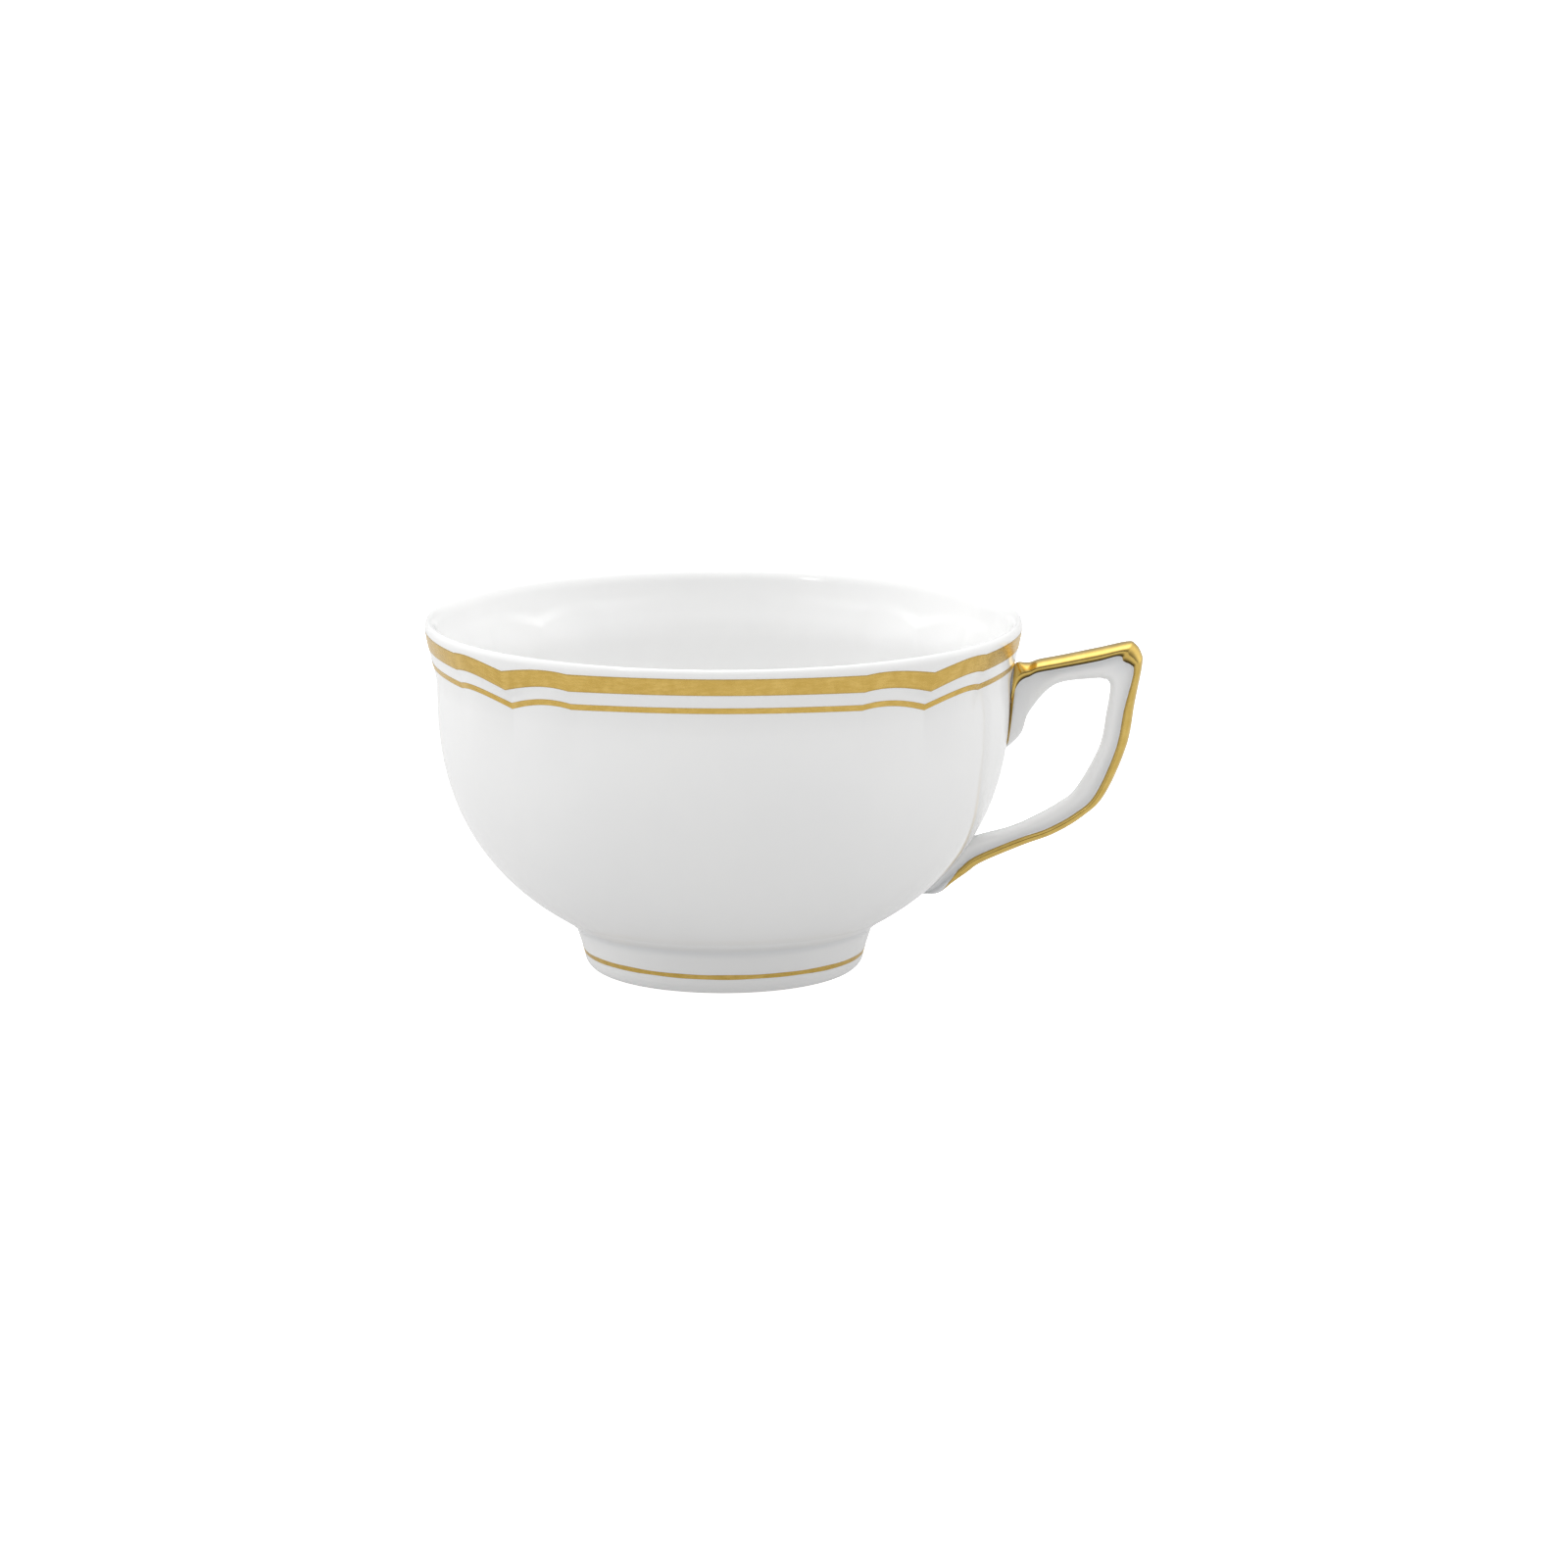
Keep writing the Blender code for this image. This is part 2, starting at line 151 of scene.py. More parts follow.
@dataclass
class Skin:
    """A grid of points over two parameters, with what is painted on it.

    Attributes:
        points: Points, rows by columns by 3.
        wrap_rows: Whether the last row joins the first.
        wrap_columns: Whether the last column joins the first.
        run: Distance along and share across at each corner, one more than the points each
            way the grid wraps, for patterns that follow the surface.
        marks: Named masks with one value for each point.
    """

    points: np.ndarray
    wrap_rows: bool = False
    wrap_columns: bool = True
    run: np.ndarray | None = None
    marks: dict[str, np.ndarray] = field(default_factory=dict)

    def corners(self) -> np.ndarray:
        """Row and column of each face's four corners, before the grid wraps.

        Returns:
            Faces by 4 corners by 2.
        """
        rows, columns = self.points.shape[:2]
        i, j = np.meshgrid(
            np.arange(rows - (not self.wrap_rows)),
            np.arange(columns - (not self.wrap_columns)),
            indexing="ij",
        )
        steps = np.array([[0, 0], [0, 1], [1, 1], [1, 0]])
        return np.stack([i.ravel(), j.ravel()], -1)[:, None, :] + steps

    def enclosed(self, faces: np.ndarray) -> float:
        """Signed volume: a sixth of the sum of a.(b x c) over the faces' triangles.

        Args:
            faces: Vertex indices of the quads.

        Returns:
            The volume, negative where the faces point inwards.
        """
        a, b, c, d = (self.points.reshape(-1, 3)[faces[:, k]] for k in range(4))
        both = np.sum(a * np.cross(b, c)) + np.sum(a * np.cross(c, d))
        return float(both) / 6

    def to_object(self, name: str) -> bpy.types.Object:
        """Makes the closed mesh, welds its poles and seams, and links it to the scene.

        Args:
            name: Name of the object.

        Returns:
            The new object, at the origin.
        """
        rows, columns = self.points.shape[:2]
        corners = self.corners()
        faces = (corners[..., 0] % rows) * columns + corners[..., 1] % columns
        if self.enclosed(faces) < 0:
            faces, corners = faces[:, ::-1], corners[:, ::-1]
        mesh = bpy.data.meshes.new(name)
        mesh.vertices.add(rows * columns)
        mesh.vertices.foreach_set("co", self.points.ravel())
        mesh.loops.add(faces.size)
        mesh.loops.foreach_set("vertex_index", np.ascontiguousarray(faces).ravel())
        mesh.polygons.add(len(faces))
        mesh.polygons.foreach_set("loop_start", np.arange(0, faces.size, 4))
        mesh.update(calc_edges=True)
        if self.run is not None:
            layer = mesh.uv_layers.new(name="Run")
            layer.data.foreach_set("uv", self.run[corners[..., 0], corners[..., 1]].ravel())
        for mark, values in self.marks.items():
            layer = mesh.attributes.new(mark, "FLOAT", "POINT")
            layer.data.foreach_set("value", values.ravel().astype(np.float32))
        self._weld(mesh)
        mesh.shade_smooth()
        mesh.set_sharp_from_angle(angle=SHARP)
        return to_scene(bpy.data.objects.new(name, mesh))

    @staticmethod
    def _weld(mesh: bpy.types.Mesh) -> None:
        """Joins points that lie on each other, which closes poles and seams."""
        bm = bmesh.new()
        bm.from_mesh(mesh)
        bmesh.ops.remove_doubles(bm, verts=bm.verts, dist=WELD)
        bm.to_mesh(mesh)
        bm.free()


def leaf(
    points: np.ndarray,
    normals: np.ndarray,
    wrap_columns: bool,
    run: np.ndarray,
    film: float = FILM,
    painted_shade: np.ndarray | None = None,
) -> Skin:
    """A closed skin of gold leaf on a surface.

    The front stands the film's thickness proud of the surface, the back lies sunk by TUCK, and
    both meet along the leaf's edges.

    Args:
        points: Points of the surface under the leaf.
        normals: Outward unit normals there.
        wrap_columns: Whether the leaf goes all the way round.
        run: Distance along and share across at each point, and at the wrap.
        film: Height of the front above the surface.
        painted_shade: Mask of a painted dark reflection on the leaf, none if it has none.

    Returns:
        The closed skin.
    """
    lift = np.full(points.shape[:2], film)
    lift[[0, -1], :] = -TUCK
    if not wrap_columns:
        lift[:, [0, -1]] = -TUCK
    front = points + normals * lift[..., None]
    back = (points - normals * TUCK)[::-1]
    both = np.concatenate([front, back[1:-1]])
    painted = np.concatenate([run, run[::-1][1:-1], run[:1]])
    # Mask of the painted dark reflection, zero where none is given
    ran = np.zeros(points.shape[:2]) if painted_shade is None else painted_shade
    marks = {"painted_shade": np.concatenate([ran, ran[::-1][1:-1]])}
    return Skin(both, wrap_rows=True, wrap_columns=wrap_columns, run=painted, marks=marks)


@dataclass(frozen=True)
class CupForm:
    """Shape of the cup that its pieces share. All lengths are in metres.

    Attributes:
        axis_x: Place of the cup's own axis along X.
        rim_radius: Widest point of the rim.
        height: Crest of the rim above the table.
        reach: Outermost point of the handle, from the upright wall.
    """

    axis_x: float
    rim_radius: float
    height: float
    reach: float
    flare: float = 1.85 * MM
    flare_height: float = 9.2 * MM
    flare_curl: float = 1.3
    rim_roll: float = 0.8 * MM
    shoulder_drop: float = 10.75 * MM
    belly_bottom: float = 2.4 * MM
    belly_power: float = 2.45
    base_height: float = 4.5 * MM
    floor_height: float = 7.7 * MM
    wall: float = 2.3 * MM
    lip_wall: float = 1.6 * MM
    belly_wall: float = 2.8 * MM
    flare_blend: float = 0.5 * MM
    lobes: int = 4
    corner_angle: float = math.radians(29.0)
    corner_share: float = 0.28
    corner_rise: float = 1.42
    point_fall: float = -1.80
    point_drop: float = 2.05 * MM
    hollow_depth: float = 0.9 * MM
    hollow_edge: float = 4.05 * MM
    hollow_fall: float = 0.9
    hollow_roll: float = 1.9 * MM
    hollow_foot: float = 15.0 * MM

    @classmethod
    def from_frame(cls) -> CupForm:
        """Reads the cup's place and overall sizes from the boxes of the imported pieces."""
        low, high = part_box("bowl")
        rim_radius = (high.y - low.y) / 2
        axis_x = (low.x + high.x) / 2
        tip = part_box("handle_gilding")[1].x
        wall_radius = rim_radius - cls.flare
        return cls(axis_x, rim_radius, high.z, tip - axis_x - wall_radius)

    @property
    def wall_radius(self) -> float:
        """Radius of the upright wall below the flare."""
        return self.rim_radius - self.flare

    @property
    def shoulder(self) -> float:
        """Height at which the curved belly has become upright."""
        return self.height - self.shoulder_drop

    def bracket(self, angle: np.ndarray) -> np.ndarray:
        """Fall of the bracket-shaped edge: 0 in a lobe's middle and 1 at a point.

        A power law runs from the middle to the small corner. From there a Hermite cubic rises
        into a hump and then falls steeply into the point.

        Args:
            angle: Angles round the axis.

        Returns:
            Share of the whole fall at each angle.
        """
        pitch = 2 * math.pi / self.lobes
        off = np.abs((angle + pitch / 2) % pitch - pitch / 2)
        near = self.corner_share * np.clip(off / self.corner_angle, 0, 1) ** 2.4
        t = np.clip((off - self.corner_angle) / (pitch / 2 - self.corner_angle), 0, 1)
        drop = (1 - self.corner_share) * (3 * t**2 - 2 * t**3) - self.point_fall * (t**3 - t**2)
        return near + drop - self.corner_rise * (t**3 - 2 * t**2 + t)

    def edge(self, drop: float, share: float, angle: np.ndarray) -> np.ndarray:
        """Height of a bracket-shaped line.

        Args:
            drop: Distance below the crest in a lobe's middle.
            share: Part of the full fall that the line takes at a point.
            angle: Angles round the axis.

        Returns:
            Heights above the table.
        """
        return self.height - drop - share * self.point_drop * self.bracket(angle)

    def hollow(self, z: np.ndarray, angle: np.ndarray) -> np.ndarray:
        """Depth of the soft hollows between lobes.

        A product of three laws: across, the bracket near the rim, which turns into the third
        power of (1 - cos(lobes angle)) / 2 lower down; a roll below the bracket-shaped edge;
        and a smooth fade towards the foot.

        Args:
            z: Heights.
            angle: Angles, the same shape as z.

        Returns:
            Depths.
        """
        sharp = smooth_step(z, self.shoulder - 8 * MM, self.shoulder + 3 * MM)
        soft = ((1 - np.cos(self.lobes * angle)) / 2) ** 3
        across = sharp * self.bracket(angle) + (1 - sharp) * soft
        edge = self.edge(self.hollow_edge, self.hollow_fall, angle)
        roll = 1 - smooth_step(z - edge, -0.7 * self.hollow_roll, 0.3 * self.hollow_roll)
        fade = smooth_step(z, self.hollow_foot, self.shoulder)
        return self.hollow_depth * across * roll * fade

    def belly(self, z: np.ndarray, radius: float, bottom: float) -> np.ndarray:
        """Radius of an oval belly: radius sqrt(1 - s^power), s from 0 at the shoulder to 1.

        Args:
            z: Heights.
            radius: Radius at the shoulder.
            bottom: Height at which the oval closes.

        Returns:
            Radii.
        """
        share = np.clip((self.shoulder - z) / (self.shoulder - bottom), 0, 1)
        return radius * np.sqrt(1 - share**self.belly_power)

    def cone(self, z: np.ndarray) -> np.ndarray:
        """Radius of the flared rim: wall + flare (1 - (1 - s)^curl), s from 0 to 1 up the flare.

        Below the flare it falls away faster and faster, so that only the belly counts there.

        Args:
            z: Heights.

        Returns:
            Radii.
        """
        start = self.height - self.flare_height
        share = (z - start) / (self.flare_height - self.rim_roll)
        curl = 1 - np.clip(1 - share, 0, None) ** self.flare_curl
        return self.wall_radius + self.flare * (curl - np.clip(-share - 0.5, 0, None) ** 2)

    def outer(self, z: np.ndarray, angle: np.ndarray) -> np.ndarray:
        """Outside of the bowl: belly and flare rounded into each other, less the hollows."""
        body = self.belly(z, self.wall_radius, self.belly_bottom)
        return soft_max(body, self.cone(z), self.flare_blend) - self.hollow(z, angle)

    def inner(self, z: np.ndarray, angle: np.ndarray) -> np.ndarray:
        """Inside of the bowl: the outer laws a wall's thickness further in, hollows included."""
        bottom = self.belly_bottom + self.belly_wall
        body = self.belly(z, self.wall_radius - self.wall, bottom)
        thinning = (self.wall - self.lip_wall) * (z - self.shoulder) / self.shoulder_drop
        flared = self.cone(z) - self.wall + thinning
        return soft_max(body, flared, 1.4 * self.flare_blend) - 0.9 * self.hollow(z, angle)

    def place(self, r: np.ndarray, z: np.ndarray, angle: np.ndarray) -> np.ndarray:
        """Points at a radius, height and angle round the cup's own axis."""
        r, z, angle = np.broadcast_arrays(r, z, angle)
        return np.stack([self.axis_x + r * np.cos(angle), r * np.sin(angle), z], -1)

    def angles(self, middle: int, tip: int) -> np.ndarray:
        """Angles round the cup, with columns on every small corner and every point.

        Args:
            middle: Columns from a lobe's middle to its corner.
            tip: Columns from the corner to the point.

        Returns:
            Angles from 0 up to, but without, a full turn.
        """
        half = math.pi / self.lobes
        rising = np.concatenate(
            [
                np.linspace(0, self.corner_angle, middle, endpoint=False),
                np.linspace(self.corner_angle, half, tip, endpoint=False),
            ]
        )
        falling = 2 * half - np.append(rising, half)[::-1][:-1]
        starts = 2 * half * np.arange(self.lobes)
        return (starts[:, None] + np.concatenate([rising, falling])[None, :]).ravel()


@dataclass(frozen=True)
class Tint:
    """A linear colour."""

    red: float
    green: float
    blue: float

    def rgba(self) -> tuple[float, float, float, float]:
        """The colour with full opacity, as a shader socket takes it."""
        return (self.red, self.green, self.blue, 1.0)


class Recipe:
    """Adds shader nodes to a tree and links them."""

    def __init__(self, tree: bpy.types.NodeTree) -> None:
        """Starts on an existing node tree."""
        self.tree = tree

    def node(self, kind: str, settings: dict | None = None, **inputs: object) -> bpy.types.Node:
        """Adds a node.

        Args:
            kind: Node type.
            settings: Properties to set on the node.
            **inputs: Socket values or source sockets, by socket name with _ for a space.

        Returns:
            The new node.
        """
        made = self.tree.nodes.new(kind)
        for key, value in (settings or {}).items():
            setattr(made, key, value)
        self.fill(made, **inputs)
        return made

    def feed(self, socket: bpy.types.NodeSocket, value: object) -> None:
        """Links another node's result into a socket, or sets the socket to a plain value."""
        if isinstance(value, bpy.types.NodeSocket):
            self.tree.links.new(value, socket)
        else:
            socket.default_value = value

    def fill(self, node: bpy.types.Node, **inputs: object) -> None:
        """Feeds a node's inputs, named with _ for a space."""
        for key, value in inputs.items():
            self.feed(node.inputs[key.replace("_", " ")], value)

    def math(self, operation: str, *values: object) -> bpy.types.NodeSocket:
        """Adds a Math node on numbers or sockets and gives its result."""
        made = self.node("ShaderNodeMath", {"operation": operation})
        for socket, value in zip(made.inputs, values):
            self.feed(socket, value)
        return made.outputs[0]

    def times(self, a: object, b: object) -> bpy.types.NodeSocket:
        """The product of two numbers or sockets."""
        return self.math("MULTIPLY", a, b)

    def mark(self, name: str) -> bpy.types.NodeSocket:
        """A named mask of the mesh, 0 where the mesh has none."""
        return self.node("ShaderNodeAttribute", {"attribute_name": name}).outputs["Fac"]

    def mix(self, share: object, a: object, b: object) -> bpy.types.NodeSocket:
        """Mixes two colours by a share and gives the result."""
        made = self.node("ShaderNodeMix", {"data_type": "RGBA"})
        for index, value in ((0, share), (6, a), (7, b)):
            self.feed(made.inputs[index], value)
        return made.outputs[2]

    def span(self, value: object, low: float, high: float, start: float, end: float) -> bpy.types.NodeSocket:
        """Maps a value from low..high to start..end, clamped, and gives the result."""
        made = self.node(
            "ShaderNodeMapRange", From_Min=low, From_Max=high, To_Min=start, To_Max=end, Value=value
        )
        return made.outputs[0]

    def noise(self, place: bpy.types.NodeSocket, scale: float, detail: float = 2.0) -> bpy.types.NodeSocket:
        """Adds a Noise texture at a place and gives its factor."""
        made = self.node("ShaderNodeTexNoise", Vector=place, Scale=scale, Detail=detail)
        return made.outputs["Fac"]


# Noise cells per metre of glaze and of bare clay
SWELL, RIPPLE, CLOUD, PINHOLE, RARE, GRIT = 110.0, 620.0, 45.0, 260.0, 190.0, 4200.0
# Noise cells per unit of a leaf's run, and how its run and width are scaled for them
STROKE, MOTTLE, STROKE_SCALE = 4.0, 0.55, (1.0, 1.6, 1.0)


def new_group(
    name: str, inputs: dict[str, float], outputs: tuple[str, ...]
) -> tuple[Recipe, bpy.types.Node, bpy.types.Node]:
    """Makes an empty shader node group that takes a vector named Place.

    Args:
        name: Name of the group.
        inputs: Its float inputs with their defaults.
        outputs: Names of its float outputs.

    Returns:
        A recipe on the group's tree, and the tree's input and output nodes.
    """
    tree = bpy.data.node_groups.new(name, "ShaderNodeTree")
    tree.interface.new_socket("Place", in_out="INPUT", socket_type="NodeSocketVector")
    for key, value in inputs.items():
        socket = tree.interface.new_socket(key, in_out="INPUT", socket_type="NodeSocketFloat")
        socket.default_value = value
    for key in outputs:
        tree.interface.new_socket(key, in_out="OUTPUT", socket_type="NodeSocketFloat")
    recipe = Recipe(tree)
    return recipe, recipe.node("NodeGroupInput"), recipe.node("NodeGroupOutput")


def glaze_group() -> bpy.types.NodeTree:
    """Undulation and cloudiness of a fired glaze.

    Height is a broad swell of 9 mm plus a fine ripple of 1.6 mm. Cloud is a mask of the faint
    differences in tone where the glaze ran thicker, and Speck marks sparse pinholes.

    Returns:
        The node group.
    """
    recipe, source, result = new_group("fired_glaze", {"Ripple": 0.3}, ("Height", "Cloud", "Speck"))
    place = source.outputs["Place"]
    ripple = recipe.times(recipe.noise(place, RIPPLE, 2.0), source.outputs["Ripple"])
    cells = recipe.node("ShaderNodeTexVoronoi", Vector=place, Scale=PINHOLE)
    speck = recipe.span(cells.outputs["Distance"], 0.02, 0.05, 1.0, 0.0)
    rare = recipe.span(recipe.noise(place, RARE, 0.0), 0.66, 0.70, 0.0, 1.0)
    recipe.fill(
        result,
        Height=recipe.math("ADD", recipe.noise(place, SWELL, 1.0), ripple),
        Cloud=recipe.span(recipe.noise(place, CLOUD, 3.0), 0.3, 0.7, 0.0, 1.0),
        Speck=recipe.times(speck, rare),
    )
    return recipe.tree


def gilding_group() -> bpy.types.NodeTree:
    """Brush strokes and burnish of fired gold.

    Stroke is noise stretched along the run, Mottle is a soft cloud over it, and Edge rises from
    0 to 1 towards the leaf's two edges, where the gold thins.

    Returns:
        The node group.
    """
    recipe, source, result = new_group(
        "burnished_gilding", {"Across": 0.5, "Stretch": 0.12}, ("Stroke", "Mottle", "Edge")
    )
    parts = recipe.node("ShaderNodeSeparateXYZ", Vector=source.outputs["Place"])
    along = recipe.times(parts.outputs["X"], source.outputs["Stretch"])
    drawn = recipe.node("ShaderNodeCombineXYZ", X=along, Y=parts.outputs["Y"])
    middle = recipe.math("ABSOLUTE", recipe.math("SUBTRACT", source.outputs["Across"], 0.5))
    recipe.fill(
        result,
        Stroke=recipe.noise(drawn.outputs[0], STROKE, 3.0),
        Mottle=recipe.noise(source.outputs["Place"], MOTTLE, 3.0),
        Edge=recipe.span(middle, 0.40, 0.50, 0.0, 1.0),
    )
    return recipe.tree


def new_material(name: str) -> tuple[bpy.types.Material, Recipe, bpy.types.Node]:
    """Makes a node material.

    Args:
        name: Name of the material.

    Returns:
        The material, a recipe on its tree and its Principled shader.
    """
    made = bpy.data.materials.new(name)
    made.use_nodes = True
    return made, Recipe(made.node_tree), made.node_tree.nodes["Principled BSDF"]


@dataclass(frozen=True)
class Porcelain:
    """Glazed white porcelain.

    Attributes:
        name: Name of the material.
        light: Colour of the clear glaze over the body.
        deep: Colour where the glaze is thicker, and of the painted shade in creases.
        bare: Colour of the unglazed rest, where the piece has a "bare" mark.
        shine: Roughness of the glaze.
        pinhole: Colour of the pinholes.
        grit: Colour of the grit in the bare clay.
        swell: Depth of the glaze's undulation.
        cloud: How far the cloudiness goes from light to deep.
        has_rest: Whether the piece stands on an unglazed rest.
    """

    name: str
    light: Tint = Tint(0.835, 0.835, 0.830)
    deep: Tint = Tint(0.715, 0.725, 0.738)
    bare: Tint = Tint(0.70, 0.67, 0.61)
    pinhole: Tint = Tint(0.55, 0.5, 0.42)
    grit: Tint = Tint(0.80, 0.78, 0.73)
    shine: float = 0.07
    swell: float = 0.010 * MM
    cloud: float = 0.15
    has_rest: bool = False

    def make(self, glaze: bpy.types.NodeTree) -> bpy.types.Material:
        """Builds the material.

        Args:
            glaze: The fired_glaze node group.

        Returns:
            The material.
        """
        made, recipe, shader = new_material(self.name)
        place = recipe.node("ShaderNodeTexCoord").outputs["Object"]
        fired = recipe.node("ShaderNodeGroup", {"node_tree": glaze}, Place=place, Ripple=0.25).outputs
        # Share of the deep colour: the larger of the painted crease shade and the glaze's cloudiness
        painted_shade = recipe.math("MAXIMUM", recipe.mark("painted_crease_shade"), recipe.times(fired["Cloud"], self.cloud))
        colour = recipe.mix(painted_shade, self.light.rgba(), self.deep.rgba())
        colour = recipe.mix(recipe.times(fired["Speck"], 0.25), colour, self.pinhole.rgba())
        rough = recipe.span(fired["Cloud"], 0.0, 1.0, self.shine, self.shine * 1.5)
        height = fired["Height"]
        if self.has_rest:
            bare = recipe.mark("bare")
            grain = recipe.noise(place, GRIT, 3.0)
            colour = recipe.mix(bare, colour, recipe.mix(grain, self.bare.rgba(), self.grit.rgba()))
            rough = recipe.math("ADD", rough, recipe.times(bare, 0.55))
            height = recipe.math("ADD", height, recipe.times(grain, bare))
        bump = recipe.node("ShaderNodeBump", Height=height, Distance=self.swell, Strength=1.0)
        recipe.fill(shader, Base_Color=colour, Roughness=rough, Normal=bump.outputs[0], IOR=1.54)
        return made


@dataclass(frozen=True)
class BurnishedGold:
    """Fired and burnished gold.

    Attributes:
        name: Name of the material.
        bright: Colour of the well covered gold.
        warm: Colour where the brush left it deeper.
        thin: Colour at the leaf's edges.
        painted_shade: Near-black colour of a painted dark reflection, where the leaf has a "painted_shade"
            mark.
        shine: Roughness of the burnished face.
        brushed: How much the strokes add to the roughness.
        relief: Height of the strokes.
    """

    name: str
    bright: Tint = Tint(0.71, 0.490, 0.145)
    warm: Tint = Tint(0.60, 0.400, 0.100)
    thin: Tint = Tint(0.44, 0.30, 0.09)
    # Near-black painted reflection for the hollow under the handle bead's shoulder
    painted_shade: Tint = Tint(0.075, 0.050, 0.012)
    shine: float = 0.20
    brushed: float = 0.14
    relief: float = 0.002 * MM

    def make(self, gilding: bpy.types.NodeTree) -> bpy.types.Material:
        """Builds the material.

        Args:
            gilding: The burnished_gilding node group.

        Returns:
            The material.
        """
        made, recipe, shader = new_material(self.name)
        run = recipe.node("ShaderNodeUVMap", {"uv_map": "Run"}).outputs[0]
        across = recipe.node("ShaderNodeSeparateXYZ", Vector=run).outputs["Y"]
        width = recipe.node("ShaderNodeVectorMath", {"operation": "MULTIPLY"})
        recipe.feed(width.inputs[0], run)
        recipe.feed(width.inputs[1], STROKE_SCALE)
        settings = {"node_tree": gilding}
        gilt = recipe.node("ShaderNodeGroup", settings, Place=width.outputs[0], Across=across).outputs
        share = recipe.times(gilt["Stroke"], gilt["Mottle"])
        colour = recipe.mix(recipe.span(share, 0.15, 0.38, 0.0, 1.0), self.warm.rgba(), self.bright.rgba())
        colour = recipe.mix(gilt["Edge"], colour, self.thin.rgba())
        # Painted dark reflection mixed in where the leaf is marked
        colour = recipe.mix(recipe.mark("painted_shade"), colour, self.painted_shade.rgba())
        rough = recipe.span(gilt["Stroke"], 0.3, 0.7, self.shine, self.shine + self.brushed)
        bump = recipe.node("ShaderNodeBump", Height=gilt["Stroke"], Distance=self.relief)
        recipe.fill(shader, Base_Color=colour, Roughness=rough, Normal=bump.outputs[0], Metallic=1.0)
        return made


def polished(name: str) -> BurnishedGold:
    """The handle's gold, brighter and burnished harder than the rim's."""
    return BurnishedGold(name, Tint(0.70, 0.500, 0.150), Tint(0.62, 0.430, 0.115), shine=0.13, brushed=0.07)


@dataclass
class Workshop:
    """The finishes, made once and shared by the pieces."""

    glaze: bpy.types.NodeTree = field(default_factory=glaze_group)
    gilding: bpy.types.NodeTree = field(default_factory=gilding_group)

    def dress(self, piece: bpy.types.Object, finish: Porcelain | BurnishedGold, node: str) -> None:
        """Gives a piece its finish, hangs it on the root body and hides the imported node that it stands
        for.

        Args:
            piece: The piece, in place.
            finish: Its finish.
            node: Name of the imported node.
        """
        is_gold = isinstance(finish, BurnishedGold)
        made = finish.make(self.gilding if is_gold else self.glaze)
        piece.data.materials.append(made)
        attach(piece, "root")
        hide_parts(node)
        LOG.info("%s: %d faces, %s", piece.name, len(piece.data.polygons), finish.name)


